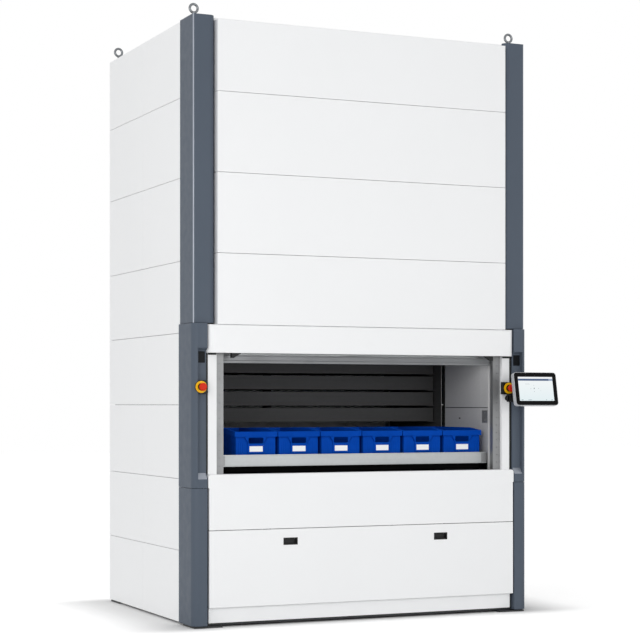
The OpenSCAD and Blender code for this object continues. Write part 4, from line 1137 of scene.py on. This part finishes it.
mount(glass, "panel", black_glass, ["panel_screen"])

# Lit screen: a white top row, a blue header, a few marks on a pale field and a footer
screen_gap = 0.0003
screen_sunk = 0.0002
screen_back = 0.00005
screen_x = screen_half.x - screen_gap
screen_z = screen_half.z - screen_gap
screen = block("panel_display", (-screen_x, glass_front + screen_sunk, -screen_z),
               (screen_x, glass_front + window_d - screen_back, screen_z))
round_edges(screen, 0.0001, 1)
lean_back(screen)
lit = bpy.data.materials.new("lit screen")
lit.use_nodes = True
lit_tree = lit.node_tree
lit_shader = lit_tree.nodes["Principled BSDF"]
set_sockets(lit_shader, {"Base Color": (0.01, 0.01, 0.01, 1), "Roughness": 0.2, "Specular IOR Level": 0.2,
                         "Emission Strength": 0.95})
place = add_node(lit_tree, "TexCoord")
centred = add_node(lit_tree, "VectorMath", {0: place.outputs["Object"], 1: tuple(tilt_pin)},
                   operation="SUBTRACT")
upright = add_node(lit_tree, "Mapping", {"Vector": centred, "Rotation": (panel_lean, 0, 0)})
on_screen = add_node(lit_tree, "SeparateXYZ", {"Vector": upright})


def screen_mark(x, z, half_x, half_z):
    """One inside a small rectangular mark on the screen, nought outside."""
    shares = []
    for axis, middle, half in (("X", x, half_x), ("Z", z, half_z)):
        off = add_node(lit_tree, "Math", {0: on_screen.outputs[axis], 1: middle}, operation="SUBTRACT")
        size = add_node(lit_tree, "Math", {0: off}, operation="ABSOLUTE")
        shares.append(add_node(lit_tree, "Math", {0: size, 1: half}, operation="LESS_THAN"))
    return add_node(lit_tree, "Math", {0: shares[0], 1: shares[1]}, operation="MULTIPLY")


def paint_marks(ground, color, *marks):
    """The screen picture with one more layer of marks in a colour."""
    covered = screen_mark(*marks[0])
    for mark in marks[1:]:
        covered = add_node(lit_tree, "Math", {0: covered, 1: screen_mark(*mark)}, operation="MAXIMUM")
    return add_node(lit_tree, "MixRGB", {"Fac": covered, "Color1": ground, "Color2": color})


sheen = ranged(lit_tree, on_screen.outputs["Z"], (-screen_half.z, screen_half.z))
field = add_node(lit_tree, "MixRGB", {"Fac": sheen, "Color1": srgb(230, 242, 245),
                                      "Color2": srgb(246, 249, 250)})
field = paint_marks(field, srgb(246, 248, 250), (0, 0.0605, 0.11, 0.005))
field = paint_marks(field, srgb(70, 92, 128), (-0.012, 0.0495, 0.094, 0.0055))
field = paint_marks(field, srgb(150, 166, 190), (0.094, 0.0495, 0.012, 0.0055))
field = paint_marks(field, srgb(52, 66, 78),
                    (-0.0117, 0.0022, 0.0024, 0.0028), (-0.012, 0.018, 0.001, 0.001),
                    (-0.0325, 0.0, 0.0018, 0.001), (0.0164, 0.0022, 0.0014, 0.0014),
                    (-0.012, -0.0144, 0.0012, 0.0012), (0.0255, -0.0105, 0.001, 0.001))
field = paint_marks(field, srgb(120, 138, 148),
                    (-0.051, 0.026, 0.014, 0.0006), (-0.043, -0.06, 0.011, 0.0012),
                    (0.058, -0.06, 0.003, 0.0016), (0.093, -0.06, 0.005, 0.0016),
                    (-0.09, -0.06, 0.006, 0.0014))
lit_tree.links.new(field.outputs[0], lit_shader.inputs["Emission Color"])
mount(screen, "panel", lit)


# Lifting eyes
# Eye bolts, forged from steel and plated.
# They are screwed through the roof into the top frame.
forged = finish_with("plated forging", lines, {"Color": srgb(128, 131, 134), "Roughness": 0.25,
                                              "Grain": (120.0, 120.0, 120.0)}, {"Metallic": 1.0})
dress(["lifting_eyes"], forged, 0.0005)
